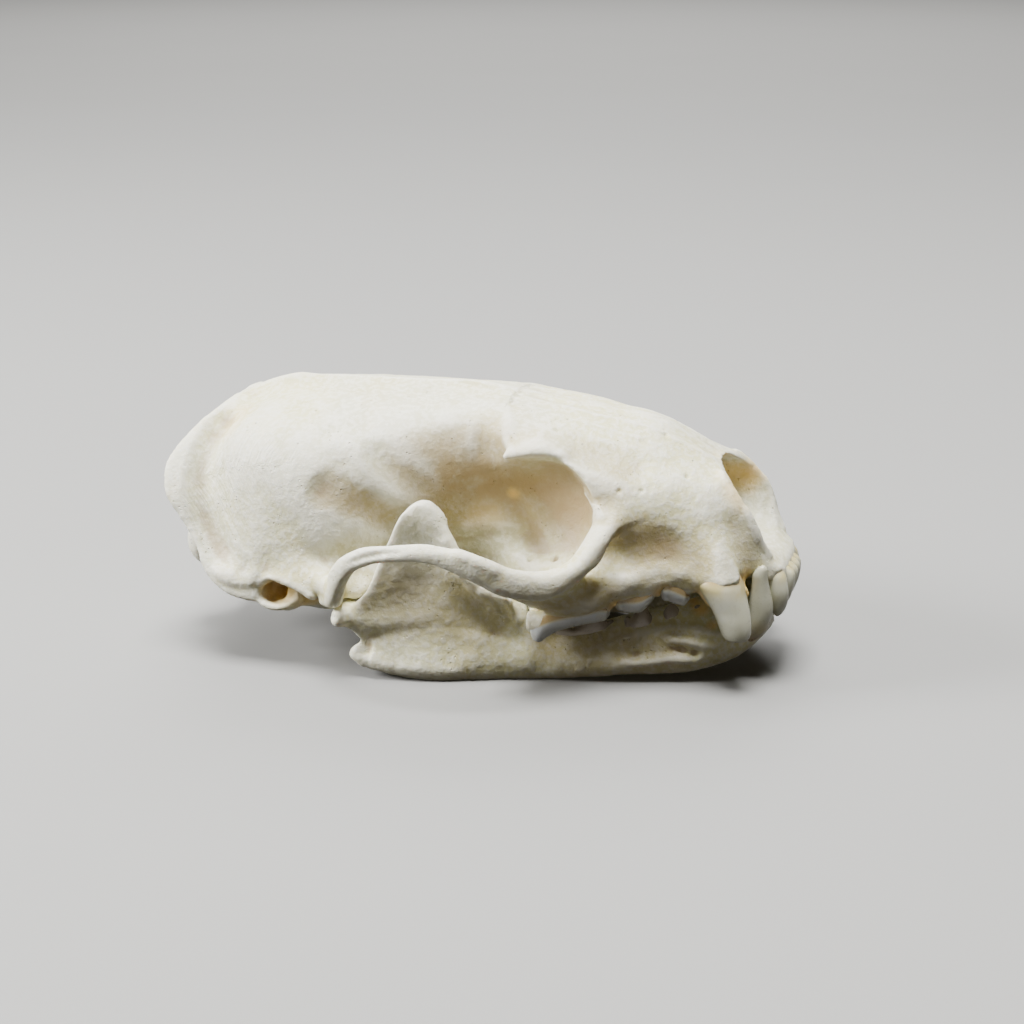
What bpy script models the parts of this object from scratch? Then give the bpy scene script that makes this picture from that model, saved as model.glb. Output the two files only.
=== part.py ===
"""Skull of a striped skunk, bare bone with the lower jaw closed under it, at life size.

Lengths are in millimetres until a mesh is made. X runs from the nape to the snout, the animal's right
side is -Y, and the lower jaw stands on Z = 0. The braincase and the face are one loft, whose sections
pass through five lines drawn along the skull. Arches, crests, condyles and ear bullae are joined to it,
the openings are cut, and thin cuts part the result into the bones that have a name.
"""

import bpy
import bmesh
import numpy as np
from mathutils import Matrix

MM = 0.001
GAP = 0.3
SKULL_REAR = 4.2
SKULL_FRONT = 72.0
VOXEL = 0.45
FAIRING = 3
CRANIUM_TRIANGLES = 6400
JAW_TRIANGLES = 1400
BONE_COLOUR = (0.8, 0.76, 0.66)
BONE_ROUGHNESS = 0.55

# Lines along the skull on the right side: (x, distance from the middle, z).
CROWN_LINE = [
    (4.2, 0, 24.0), (6.0, 0, 26.7), (8.5, 0, 28.1), (13, 0, 29.3), (20, 0, 30.1), (34, 0, 30.3),
    (39, 0, 30.4), (45, 0, 29.9), (51, 0, 29.2), (57, 0, 28.1), (62, 0, 25.5), (65.5, 0, 23.5),
    (69.5, 0, 20.2), (72.0, 0, 12.9)]
SHOULDER_LINE = [
    (4.2, 7.0, 21.4), (6.5, 9.4, 24.0), (10, 11.8, 25.9), (17, 13.1, 26.5), (25, 12.2, 27.0),
    (32, 9.6, 28.0), (38, 8.8, 28.2), (43, 10.4, 27.1), (47, 11.4, 26.0), (52, 11.2, 24.4),
    (57, 9.8, 23.2), (63, 7.6, 22.8), (66.0, 6.4, 22.4), (68.1, 5.9, 21.1), (70.2, 5.3, 17.1),
    (72.0, 3.6, 12.6)]
WALL_LINE = [
    (4.2, 8.0, 15.6), (7.0, 12.4, 17.4), (10, 14.9, 18.0), (13, 16.0, 18.0), (18, 16.3, 17.8),
    (24, 15.4, 18.0), (30, 12.6, 18.8), (36, 9.4, 19.6), (42, 7.8, 19.8), (47, 8.0, 19.0),
    (51, 10.8, 18.0), (54, 12.3, 17.6), (58, 11.3, 16.9), (63, 9.5, 16.4), (68, 7.3, 15.4),
    (70.5, 5.9, 13.6), (72.0, 4.2, 12.2)]
BASE_LINE = [
    (4.2, 6.6, 10.2), (8, 12.4, 10.2), (13, 15.0, 9.8), (20, 14.0, 10.0), (26, 10.4, 9.8),
    (32, 6.6, 9.4), (38, 6.4, 8.8), (42, 9.4, 9.6), (43.6, 11.0, 9.5), (44.8, 12.8, 8.0),
    (46, 13.5, 7.0), (48.5, 13.8, 8.0), (53, 13.4, 10.1), (58, 11.6, 11.5), (64, 9.7, 12.5),
    (69, 7.0, 12.4), (72.0, 4.0, 11.8)]
KEEL_LINE = [
    (4.2, 0, 9.2), (8, 0, 8.4), (20, 0, 9.0), (30, 0, 9.8), (38, 0, 10.0), (48, 0, 10.2),
    (60, 0, 11.2), (68, 0, 12.0), (72.0, 0, 11.8)]

# Rods: (x, distance from the middle, z, half height, half thickness).
ARCH = [
    (22.6, 15.2, 9.6, 1.7, 1.7), (23.5, 17.6, 10.1, 1.7, 1.25), (25.4, 19.7, 12.9, 1.35, 0.95),
    (28.6, 21.5, 15.8, 1.05, 0.85), (32.5, 22.2, 17.1, 0.85, 0.85), (36.5, 22.3, 17.4, 0.95, 0.9),
    (40.5, 21.7, 16.4, 1.45, 0.95), (44.6, 20.2, 14.6, 1.6, 1.0), (48.0, 18.4, 13.9, 1.6, 1.2),
    (51.0, 16.2, 15.0, 1.4, 1.3), (53.2, 14.2, 17.2, 1.3, 1.4), (54.8, 12.4, 19.4, 1.2, 1.4)]
CHEEK_ROOT = [
    (49.6, 16.6, 14.4, 1.0, 2.2), (50.0, 15.6, 12.4, 1.2, 3.0), (49.8, 14.5, 10.4, 1.3, 3.6),
    (49.4, 13.7, 9.0, 1.1, 4.0)]
TOP_RIDGE = [
    (5.4, 0, 27.2, 0.8, 0.9), (8.5, 0, 28.6, 0.9, 0.9), (16, 0, 30.0, 0.8, 0.9),
    (28, 0, 30.35, 0.7, 0.9), (37, 0, 30.6, 0.6, 0.9), (42, 0, 29.9, 0.4, 1.2)]
EAR_TUBE = [(17.2, 10.0, 8.2, 2.5, 2.8), (16.8, 14.0, 8.7, 2.5, 2.7), (16.5, 16.9, 8.9, 2.3, 2.5)]
JOINT_SHELF = [(20.5, 11.5, 12.5, 3.2, 4.0), (22.0, 14.4, 11.0, 2.1, 3.0), (23.4, 17.4, 10.3, 1.4, 2.0)]
REAR_ROOT = [(16.5, 15.2, 12.6, 1.4, 1.3), (20.0, 16.4, 11.8, 1.4, 1.3), (23.4, 17.6, 10.4, 1.4, 1.3)]
CANINE_ROOT = [(63.0, 7.6, 20.4, 1.5, 1.4), (64.4, 8.3, 16.5, 2.1, 1.9), (65.8, 8.9, 12.9, 2.7, 2.4)]
BROW_POINT = [(46.0, 9.4, 26.2, 1.2, 1.8), (43.6, 10.8, 26.1, 1.0, 1.2), (41.3, 12.0, 25.4, 0.4, 0.4)]

# Rods cut away, in the same form.
BRAIN_WAY = [(-3, 0, 12.6, 3.4, 4.4), (3, 0, 12.8, 3.6, 4.4), (8, 0, 14.2, 4.2, 5.4)]
NOSE_WAY = [
    (78, 0, 17.2, 3.8, 5.4), (72, 0, 19.4, 5.3, 5.6), (67, 0, 19.8, 5.0, 5.3), (62, 0, 19.6, 4.3, 4.4),
    (57, 0, 19.4, 3.0, 2.8)]
THROAT = [(25, 0, 5.6, 2.4, 3.2), (33, 0, 8.2, 2.4, 3.0), (41, 0, 11.4, 1.4, 2.2)]
PALATE = [
    (41.5, 0, 4.6, 4.2, 11.2), (46, 0, 4.6, 4.9, 12.2), (52, 0, 6.0, 4.4, 11.7),
    (58, 0, 7.2, 3.9, 9.8), (64, 0, 8.4, 3.4, 7.9), (69.6, 0, 9.0, 2.8, 6.0)]
ORBIT_BED = [
    (36.0, 15.4, 17.8, 2.6, 4.0), (40.0, 14.4, 17.4, 3.8, 6.0), (46.0, 14.2, 17.4, 4.3, 6.8),
    (49.6, 13.8, 17.8, 3.6, 4.6), (51.6, 13.8, 18.0, 2.4, 2.4)]
EAR_WAY = [(16.9, 12.5, 8.6, 1.2, 1.4), (16.4, 15.0, 9.0, 1.4, 1.6), (15.8, 20.0, 9.5, 1.7, 1.9)]
CHEEK_WAY = [(49.0, 12.4, 15.0, 1.2, 1.1), (53.5, 12.6, 15.2, 1.2, 1.1), (58.0, 13.8, 15.6, 1.5, 1.4)]

# Balls on the right side: centre (x, distance from the middle, z), radii.
BRAIN_ROOM = ((16.0, 0, 18.6), (9.6, 12.2, 8.6))
FORAMEN_LIP = ((4.4, 0, 11.6), (2.0, 7.2, 4.6))
ORBIT = ((45.6, 15.0, 19.5), (6.9, 8.5, 6.7))
NAPE_CONDYLE = ((3.0, 6.0, 10.7), (2.7, 2.2, 3.1))
MASTOID = ((11.6, 15.0, 10.9), (4.6, 2.8, 2.8))
NAPE_PEG = ((9.0, 10.8, 8.2), (1.8, 1.5, 2.4))
BULLA = ((18.6, 9.9, 8.7), (6.2, 4.5, 3.5))
PTERYGOID = ((31.5, 4.3, 8.0), (6.5, 0.9, 2.2))
INCISOR_BED = ((70.0, 3.2, 12.8), (2.0, 3.2, 1.5))
TEAR_BUMP = ((52.4, 12.1, 20.0), (1.0, 0.9, 1.0))
JOINT_CUP = ((24.0, 15.2, 7.2), (2.0, 4.8, 2.0))
JOINT_HEAD = ((24.1, 15.2, 7.2), (1.45, 4.1, 1.4))
CHEEK_HOLLOW = ((33.6, 19.0, 8.4), (7.0, 3.3, 5.2))

# Crest round the nape: (x, distance from the middle, z) of its free edge, then of its foot in the bone.
NAPE_EDGE = [
    (5.2, 0, 27.7), (4.8, 5.6, 27.2), (2.7, 9.3, 25.6), (1.0, 12.9, 22.2), (1.5, 14.3, 19.2),
    (3.8, 15.0, 16.0), (5.8, 16.0, 13.0), (7.9, 16.9, 9.9), (10.4, 17.4, 8.4), (13.6, 17.2, 7.8)]
NAPE_FOOT = [
    (9.0, 0, 26.0), (9.0, 4.8, 25.4), (9.0, 7.6, 23.6), (9.0, 10.0, 21.0), (9.2, 11.4, 18.6),
    (9.8, 12.2, 16.2), (10.6, 13.0, 13.8), (11.6, 13.8, 12.0), (12.8, 14.4, 11.4), (14.6, 14.6, 11.2)]

# Lower jaw on the right: (x, distance from the middle, z below, z above, half thickness).
JAW = [
    (27.5, 15.8, 0.8, 6.5, 1.3), (30, 15.4, 0.3, 7.6, 1.5), (34, 14.6, -0.2, 8.0, 1.7),
    (38, 13.3, -0.2, 7.6, 1.9), (44, 11.3, -0.2, 5.8, 1.8), (50, 10.0, 0.2, 6.2, 2.1),
    (56, 8.5, 0.7, 7.6, 2.3), (61, 7.0, 0.9, 9.0, 2.4), (65, 5.6, 1.7, 10.0, 2.6),
    (68.5, 3.9, 3.5, 10.4, 2.4), (70.6, 2.3, 5.8, 10.0, 1.7)]
JAW_LEAN = 0.2
# Outline of the ramus seen from the side, (x, z), from the tooth row over the coronoid to the angle.
RAMUS = [
    (45.6, 4.0), (44.0, 6.4), (41.9, 9.4), (39.6, 11.6), (37.8, 14.0), (37.1, 17.2), (36.2, 20.0),
    (34.0, 21.5), (31.6, 20.2), (30.1, 16.4), (28.6, 13.2), (27.0, 10.4), (25.2, 8.6), (23.8, 7.2),
    (24.4, 6.0), (25.5, 5.1), (26.0, 4.2), (25.3, 3.5), (24.5, 2.4), (25.4, 1.4), (27.5, 0.7),
    (31.0, 0.4), (38.0, 0.6)]
RAMUS_HALF = 1.0
RAMUS_LEAN = 0.06
JOINT_NECK = [(24.8, 15.8, 7.0, 1.0, 1.3), (27.4, 15.8, 7.8, 1.4, 1.2), (31.0, 15.4, 8.2, 1.2, 1.0)]
ANGLE_HOOK = [(30.0, 15.6, 1.7, 1.3, 1.3), (27.0, 16.1, 1.9, 1.0, 1.0), (25.2, 16.4, 2.7, 0.6, 0.6)]
CORONOID_EDGE = [
    (43.4, 11.4, 6.2, 1.4, 1.2), (41.4, 13.0, 9.4, 1.4, 1.3), (37.9, 14.8, 13.2, 1.3, 1.2),
    (36.0, 15.5, 17.4, 1.3, 1.1), (34.2, 15.8, 19.9, 1.3, 1.1)]
CHIN = [(60.5, 5.4, 4.8, 3.0, 2.4), (65.0, 2.9, 6.0, 3.4, 2.8), (69.4, 1.9, 8.4, 2.8, 2.2)]

# Cuts between the bones: the face from the braincase, the ear bullae, and the arches from their roots.
FACE_CUT = 40.0
BULLA_CUT = ((11.5, 4.8, 2.0), (25.6, 18.4, 7.3))
ARCH_CUT = [(21.3, 16.4), (27.5, 16.0), (51.5, 15.4), (58.0, 14.6)]
OUTSIDE = 26.0

# Teeth on the right: (x, distance from the middle, z at the gum, z at the tip, half length, half width,
# heading of the row in degrees, tip ahead of the gum, tip outside the gum). Every root reaches on into
# the bone and a little to the rear.
UPPER_TEETH = [
    (71.9, 0.82, 12.6, 8.4, 0.85, 0.66, 0, 0.4, 0.0),
    (71.7, 2.3, 12.7, 8.1, 0.9, 0.76, -20, 0.5, 0.1),
    (71.15, 3.9, 12.9, 7.3, 1.2, 0.95, -50, 0.4, 0.2),
    (65.9, 9.2, 13.4, 6.0, 2.5, 1.9, 0, 1.5, 0.5),
    (61.0, 10.3, 12.0, 9.8, 1.6, 0.9, 12, 0.0, 0.2),
    (57.0, 11.7, 11.8, 8.6, 2.6, 1.1, 14, -0.2, 0.3),
    (52.6, 12.9, 11.0, 8.2, 1.9, 1.1, 12, 0.2, 0.3),
    (50.0, 13.4, 10.4, 6.9, 2.3, 1.2, 10, -0.2, 0.4),
    (46.9, 13.8, 9.4, 5.0, 2.0, 1.1, 8, -0.7, 0.4),
    (46.5, 11.4, 9.6, 8.5, 1.3, 1.5, 0, 0.0, 0.0)]
LOWER_TEETH = [
    (68.7, 5.2, 9.4, 14.2, 1.7, 1.3, 0, 1.1, 1.4),
    (63.2, 6.6, 9.0, 10.6, 1.2, 0.8, 18, 0.0, 0.0),
    (60.0, 7.6, 8.4, 10.4, 1.4, 0.8, 16, 0.0, 0.0),
    (56.2, 8.7, 7.4, 9.8, 1.7, 0.9, 15, 0.0, 0.0),
    (52.2, 9.5, 6.6, 9.0, 2.0, 1.0, 15, 0.0, 0.0),
    (48.2, 10.2, 6.0, 7.7, 1.9, 1.1, 14, 0.0, 0.0),
    (43.8, 11.0, 5.6, 8.2, 1.3, 1.0, 14, 0.0, 0.0)]
TOOTH_ROOT = 1.6
ROOT_BACK = 0.7
LOWER_CANINE_ROOM = (68.6, 5.3, 8.6, 15.0, 2.4, 2.0, 0, 1.2, 1.5)


def along(keys, x):
    """Read the columns of keys (place, values...) at x: a cubic through them, sloped by the neighbours."""
    keys = np.asarray(keys, float)
    place, value = keys[:, 0], keys[:, 1:]
    slope = np.gradient(value, place, axis=0)
    i = np.clip(np.searchsorted(place, x) - 1, 0, len(place) - 2)
    h = (place[i + 1] - place[i])[:, None]
    t = (np.asarray(x, float)[:, None] - place[i][:, None]) / h
    return ((2 * t**3 - 3 * t**2 + 1) * value[i] + (t**3 - 2 * t**2 + t) * h * slope[i]
            + (3 * t**2 - 2 * t**3) * value[i + 1] + (t**3 - t**2) * h * slope[i + 1])


def spread(points, count):
    """A smooth curve through points, read at count places an equal share of its length apart."""
    points = np.asarray(points, float)
    steps = np.linalg.norm(np.diff(points[:, :3], axis=0), axis=1)
    run = np.concatenate([[0.0], np.cumsum(steps)])
    return along(np.column_stack([run, points]), np.linspace(0.0, run[-1], count))


def closed_curve(corners, per_side):
    """Rings through corners (ring, corner, axis): each side is a cubic sloped by its two neighbours."""
    before, after = np.roll(corners, 1, axis=1), np.roll(corners, -1, axis=1)
    beyond = np.roll(corners, -2, axis=1)
    t = (np.arange(per_side) / per_side)[:, None]
    sides = []
    for i in range(corners.shape[1]):
        a, b, c, d = (p[:, i, None, :] for p in (before, corners, after, beyond))
        sides.append(b + 0.5 * t * (c - a + t * (2 * a - 5 * b + 4 * c - d + t * (3 * (b - c) + d - a))))
    return np.concatenate(sides, axis=1)


def solid(name, verts, faces):
    """A mesh object of the given millimetre points, with its faces turned outwards."""
    mesh = bpy.data.meshes.new(name)
    mesh.from_pydata([tuple(v) for v in np.asarray(verts) * MM], [], faces)
    bm = bmesh.new()
    bm.from_mesh(mesh)
    bmesh.ops.recalc_face_normals(bm, faces=bm.faces)
    bmesh.ops.triangulate(bm, faces=[f for f in bm.faces if len(f.verts) > 4])
    bm.to_mesh(mesh)
    bm.free()
    obj = bpy.data.objects.new(name, mesh)
    bpy.context.scene.collection.objects.link(obj)
    return obj


def loft(name, rings):
    """A closed body over rings (ring, point, axis), with a cap at each end."""
    count, sides = rings.shape[:2]
    faces = []
    for r in range(count - 1):
        for s in range(sides):
            t = (s + 1) % sides
            faces.append((r * sides + s, r * sides + t, (r + 1) * sides + t, (r + 1) * sides + s))
    faces.append(tuple(range(sides)))
    faces.append(tuple(range((count - 1) * sides, count * sides)))
    return solid(name, rings.reshape(-1, 3), faces)


def rod(name, keys, side=1, count=24, sides=14, power=1.0):
    """Ellipses carried along keys (x, y, z, half height, half thickness), squarer for a power below 1."""
    keys = spread(keys, count)
    path = keys[:, :3] * (1, side, 1)
    ahead = np.gradient(path, axis=0)
    ahead /= np.linalg.norm(ahead, axis=1)[:, None]
    across = np.cross(ahead, (0, 0, 1))
    across /= np.linalg.norm(across, axis=1)[:, None]
    rise = np.cross(across, ahead)
    turn = np.linspace(0.0, 2 * np.pi, sides, endpoint=False)
    up, out = (np.sign(wave) * np.abs(wave) ** power for wave in (np.cos(turn), np.sin(turn)))
    rings = (path[:, None] + up[None, :, None] * (keys[:, 3, None] * rise)[:, None]
             + out[None, :, None] * (keys[:, 4, None] * across)[:, None])
    return loft(name, rings)


def crown(name, tooth, side, sides=8):
    """One tooth: ellipses from the root sunk in the bone to a blunt tip, leaning as its numbers say."""
    x, y, gum, tip, long_half, wide_half, heading, ahead, out = tooth
    down = np.sign(tip - gum)
    reach = abs(tip - gum)
    t = np.array([-TOOTH_ROOT / reach, 0.0, 0.45, 0.78, 0.95, 1.0])
    size = np.where(t < 0, 0.8, (1 - np.clip(t, 0, 0.985) ** 3) ** 0.5)
    rise = np.clip(t, 0, 1)
    lean = rise**1.5
    place = x + ahead * lean - ROOT_BACK * (t < 0)
    centre = np.column_stack([place, side * (y + out * lean), gum + down * reach * t])
    a = np.radians(heading) * side * -1
    row = np.array([np.cos(a), np.sin(a), 0.0])
    cross = np.array([-np.sin(a), np.cos(a), 0.0])
    turn = np.linspace(0.0, 2 * np.pi, sides, endpoint=False)
    rings = (centre[:, None] + (size[:, None] * long_half * np.cos(turn))[:, :, None] * row
             + (size[:, None] * wide_half * np.sin(turn))[:, :, None] * cross)
    return loft(name, rings)


def ball(name, centre, radii, turn=(0, 0, 0)):
    """An ellipsoid from a sphere primitive, turned by degrees about X, Y and Z."""
    bpy.ops.mesh.primitive_uv_sphere_add(segments=24, ring_count=14, radius=1.0)
    obj = bpy.context.object
    obj.name = name
    obj.scale = [r * MM for r in radii]
    obj.rotation_euler = [np.radians(a) for a in turn]
    obj.location = [c * MM for c in centre]
    bpy.ops.object.transform_apply(location=True, rotation=True, scale=True)
    return obj


def block(name, low, high):
    """A box between two corners."""
    bpy.ops.mesh.primitive_cube_add(size=1.0)
    obj = bpy.context.object
    obj.name = name
    obj.location = [0.5 * (a + b) * MM for a, b in zip(low, high)]
    obj.scale = [(b - a) * MM for a, b in zip(low, high)]
    bpy.ops.object.transform_apply(location=True, rotation=True, scale=True)
    return obj


def settle(obj):
    """Apply every modifier of obj through its evaluated mesh."""
    graph = bpy.context.evaluated_depsgraph_get()
    mesh = bpy.data.meshes.new_from_object(obj.evaluated_get(graph))
    obj.modifiers.clear()
    old = obj.data
    obj.data = mesh
    bpy.data.meshes.remove(old)


def combine(obj, others, operation, solver="MANIFOLD"):
    """Join others to obj, or cut obj by them, in one Boolean on their collection."""
    group = bpy.data.collections.new("operands")
    for other in others:
        group.objects.link(other)
    mod = obj.modifiers.new("boolean", "BOOLEAN")
    mod.operand_type = "COLLECTION"
    mod.collection = group
    mod.operation = operation
    mod.solver = solver
    settle(obj)
    for other in others:
        bpy.data.objects.remove(other)
    bpy.data.collections.remove(group)


def fair(obj, voxel, rounds, triangles):
    """One even skin over obj: a voxel remesh, a light smoothing, then a thinning to about triangles."""
    remesh = obj.modifiers.new("remesh", "REMESH")
    remesh.mode = "VOXEL"
    remesh.voxel_size = voxel * MM
    smooth = obj.modifiers.new("smooth", "SMOOTH")
    smooth.factor = 0.5
    smooth.iterations = rounds
    settle(obj)
    thin = obj.modifiers.new("thin", "DECIMATE")
    thin.ratio = min(1.0, triangles / (2.0 * len(obj.data.polygons)))
    thin.use_collapse_triangulate = True
    settle(obj)


def keep_largest(obj):
    """Keep the largest closed surface and drop scraps and sealed hollows."""
    bm = bmesh.new()
    bm.from_mesh(obj.data)
    bm.verts.ensure_lookup_table()
    left, shells = set(bm.verts), []
    while left:
        seed = left.pop()
        shell, edge = {seed}, [seed]
        while edge:
            for e in edge.pop().link_edges:
                for v in e.verts:
                    if v in left:
                        left.discard(v)
                        shell.add(v)
                        edge.append(v)
        shells.append(shell)
    largest = max(shells, key=len)
    bmesh.ops.delete(bm, geom=[v for v in bm.verts if v not in largest], context="VERTS")
    bm.to_mesh(obj.data)
    bm.free()


def copy_of(obj, name):
    """A second object with its own copy of the mesh."""
    other = bpy.data.objects.new(name, obj.data.copy())
    bpy.context.scene.collection.objects.link(other)
    return other


def skull_loft():
    """The braincase and the face: sections through the crown, shoulder, wall, base and keel lines."""
    x = np.linspace(SKULL_REAR, SKULL_FRONT, 80)
    lines = [along(keys, x) for keys in (CROWN_LINE, SHOULDER_LINE, WALL_LINE, BASE_LINE, KEEL_LINE)]
    right = [np.column_stack([x, -line[:, 0], line[:, 1]]) for line in lines]
    left = [np.column_stack([x, line[:, 0], line[:, 1]]) for line in lines[3:0:-1]]
    return loft("cranium", closed_curve(np.stack(right + left, axis=1), 6))


def nape_crest(side):
    """A wedge from its foot inside the braincase to the thin free edge behind it."""
    edge, foot = spread(NAPE_EDGE, 26), spread(NAPE_FOOT, 26)
    for curve in (edge, foot):
        curve[:, 1] *= side
    reach = 0.5 * (edge - foot)
    run = np.gradient(0.5 * (edge + foot), axis=0)
    normal = np.cross(reach, run)
    normal /= np.linalg.norm(normal, axis=1)[:, None]
    turn = np.linspace(0.0, 2 * np.pi, 16, endpoint=False)
    half = 1.15 - 0.45 * np.cos(turn)
    rings = (0.5 * (edge + foot)[:, None] + np.cos(turn)[None, :, None] * reach[:, None]
             + (np.sin(turn) * half)[None, :, None] * normal[:, None])
    return loft("nape_crest", rings)


def on_side(shape, side, turn=(0, 0, 0)):
    """Centre, radii and turn of a ball named for the right side, put on the wanted side."""
    (x, y, z), radii = shape
    return (x, side * y, z), radii, (side * turn[0], turn[1], side * turn[2])


def cranium():
    """The upper skull without its teeth, all in one piece."""
    body = skull_loft()
    orbits = []
    added = [rod("top_ridge", TOP_RIDGE), ball("foramen_lip", *FORAMEN_LIP)]
    cut = [
        rod("brain_way", BRAIN_WAY),
        ball("brain_room", *BRAIN_ROOM),
        rod("nose_way", NOSE_WAY, sides=24),
        rod("throat", THROAT),
        rod("palate", PALATE, sides=28, power=0.6)]
    for side in (-1, 1):
        orbits += [
            ball("orbit", *on_side(ORBIT, side)),
            rod("orbit_bed", ORBIT_BED, side, power=0.7)]
        added += [
            nape_crest(side),
            rod("arch", ARCH, side, 40),
            rod("cheek_root", CHEEK_ROOT, side, 12),
            ball("nape_condyle", *on_side(NAPE_CONDYLE, side, (14, 0, -24))),
            ball("mastoid", *on_side(MASTOID, side)),
            ball("nape_peg", *on_side(NAPE_PEG, side, (0, 25, 0))),
            ball("bulla", *on_side(BULLA, side, (0, 5, -12))),
            rod("ear_tube", EAR_TUBE, side),
            rod("joint_shelf", JOINT_SHELF, side),
            rod("rear_root", REAR_ROOT, side),
            ball("pterygoid", *on_side(PTERYGOID, side, (0, -6, 0))),
            rod("canine_root", CANINE_ROOT, side),
            ball("incisor_bed", *on_side(INCISOR_BED, side, (0, 0, -28))),
            ball("tear_bump", *on_side(TEAR_BUMP, side)),
            rod("brow_point", BROW_POINT, side, 12, 10)]
        cut += [
            rod("ear_way", EAR_WAY, side),
            rod("cheek_way", CHEEK_WAY, side),
            ball("joint_cup", *on_side(JOINT_CUP, side)),
            crown("lower_canine_room", LOWER_CANINE_ROOM, side, 12)]
    combine(body, orbits, "DIFFERENCE")
    combine(body, added, "UNION")
    combine(body, cut, "DIFFERENCE")
    return body


def jaw_half(side):
    """One half of the lower jaw: the body, the ramus plate and the joint head."""
    x = np.linspace(JAW[0][0], JAW[-1][0], 46)
    keys = along(JAW, x)
    turn = np.linspace(0.0, 2 * np.pi, 16, endpoint=False)
    centre = np.column_stack([x, keys[:, 0], 0.5 * (keys[:, 1] + keys[:, 2])])
    half = 0.5 * (keys[:, 2] - keys[:, 1])
    rise = half[:, None] * np.cos(turn)
    out = keys[:, 3][:, None] * np.sin(turn) - JAW_LEAN * rise
    rings = centre[:, None] + np.stack([np.zeros_like(rise), out, rise], axis=2)
    rings[:, :, 1] *= side
    body = loft("mandible", rings)

    outline = closed_curve(np.asarray(RAMUS)[None], 3)[0]
    middle = [(23.5, 16.4)] + [key[:2] for key in JAW[1:5]]
    lean = along(middle, outline[:, 0])[:, 0] + RAMUS_LEAN * (outline[:, 1] - 6.0)
    faces = [np.column_stack([outline[:, 0], side * (lean + half), outline[:, 1]])
             for half in (-RAMUS_HALF, RAMUS_HALF)]
    added = [
        loft("ramus", np.stack(faces)),
        ball("joint_head", *on_side(JOINT_HEAD, side)),
        rod("joint_neck", JOINT_NECK, side),
        rod("angle_hook", ANGLE_HOOK, side),
        rod("coronoid_edge", CORONOID_EDGE, side),
        rod("chin", CHIN, side)]
    combine(body, added, "UNION")
    low, high = sorted((-side * OUTSIDE, side * GAP / 2))
    cut = [
        ball("cheek_hollow", *on_side(CHEEK_HOLLOW, side, (0, 25, 0))),
        block("other_half", (50, low, -10), (80, high, 30))]
    combine(body, cut, "DIFFERENCE")
    return body


def bone(name, colour, roughness):
    """Dry bone: a warm off-white Principled surface."""
    mat = bpy.data.materials.new(name)
    mat.use_nodes = True
    shader = mat.node_tree.nodes["Principled BSDF"]
    shader.inputs["Base Color"].default_value = (*colour, 1.0)
    shader.inputs["Roughness"].default_value = roughness
    shader.inputs["Metallic"].default_value = 0.0
    return mat


def part_from(whole, name, region):
    """The share of whole that lies inside region, as a node of its own."""
    node = copy_of(whole, name)
    combine(node, [region], "INTERSECT")
    keep_largest(node)
    return node


def prism(name, outline, low, high):
    """An upright block over an outline (x, y), from low to high."""
    rings = [[(x, y, z) for x, y in outline] for z in (low, high)]
    return loft(name, np.array(rings, float))


def arch_region(side, margin):
    """The block outside the arch cut, drawn in from the cut by margin."""
    (rear, first), *rest = ARCH_CUT
    line = [(rear + margin, first + margin)] + [(x, y + margin) for x, y in rest]
    corners = line + [(rest[-1][0] - margin, OUTSIDE - margin), (rear + margin, OUTSIDE - margin)]
    return prism("region", [(x, side * y) for x, y in corners], 2 + margin, 27 - margin)


def bulla_region(side, margin):
    """The block round one ear bulla, drawn in from the cut by margin."""
    (rear, inner, bottom), (front, outer, top) = BULLA_CUT
    low, high = sorted((side * (inner + margin), side * (outer - margin)))
    return block("region", (rear + margin, low, bottom - margin), (front - margin, high, top - margin))


def place_over_origin(nodes):
    """Move all the nodes so that the middle of their common base is the origin."""
    points = np.array([v.co for obj in nodes for v in obj.data.vertices])
    low, high = points.min(axis=0), points.max(axis=0)
    shift = (-0.5 * (low[0] + high[0]), -0.5 * (low[1] + high[1]), -low[2])
    for obj in nodes:
        obj.data.transform(Matrix.Translation(shift))


def main():
    for obj in list(bpy.data.objects):
        bpy.data.objects.remove(obj)
    sides = ((-1, "right"), (1, "left"))
    half = GAP / 2

    skull = cranium()
    fair(skull, VOXEL, FAIRING, CRANIUM_TRIANGLES)
    keep_largest(skull)
    for side, word in sides:
        part_from(skull, "zygomatic_arch_" + word, arch_region(side, half))
        part_from(skull, "auditory_bulla_" + word, bulla_region(side, half))
        combine(skull, [arch_region(side, -half), bulla_region(side, -half)], "DIFFERENCE")
    part_from(skull, "braincase", block("region", (-5, -30, -5), (FACE_CUT - half, 30, 40)))
    face = part_from(skull, "rostrum", block("region", (FACE_CUT + half, -30, -5), (80, 30, 40)))
    bpy.data.objects.remove(skull)
    combine(face, [crown("tooth", tooth, side) for tooth in UPPER_TEETH for side in (-1, 1)], "UNION")
    keep_largest(face)

    for side, word in sides:
        jaw = jaw_half(side)
        fair(jaw, VOXEL, FAIRING, JAW_TRIANGLES)
        combine(jaw, [crown("tooth", tooth, side) for tooth in LOWER_TEETH], "UNION")
        combine(jaw, [block("floor", (0, -40, -5), (90, 40, 0))], "DIFFERENCE")
        keep_largest(jaw)
        jaw.name = "mandible_" + word

    place_over_origin(bpy.data.objects)
    for obj in bpy.data.objects:
        obj.data.materials.clear()
        obj.data.materials.append(bone(obj.name, BONE_COLOUR, BONE_ROUGHNESS))
        obj.data.shade_smooth()


main()
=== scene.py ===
"""Dressed model of a striped skunk's bare skull: whole bones with ridges, pits and stains, and teeth.

Shapes are worked out in millimetres in the skull's own frame, where X runs from the nape to the snout, the
animal's right side is -Y and the lower jaw stands on Z = 0, and are moved to the row frame at the end.
"""

import math
import bpy
import bmesh
import numpy as np
from mathutils import Matrix, Vector


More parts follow.
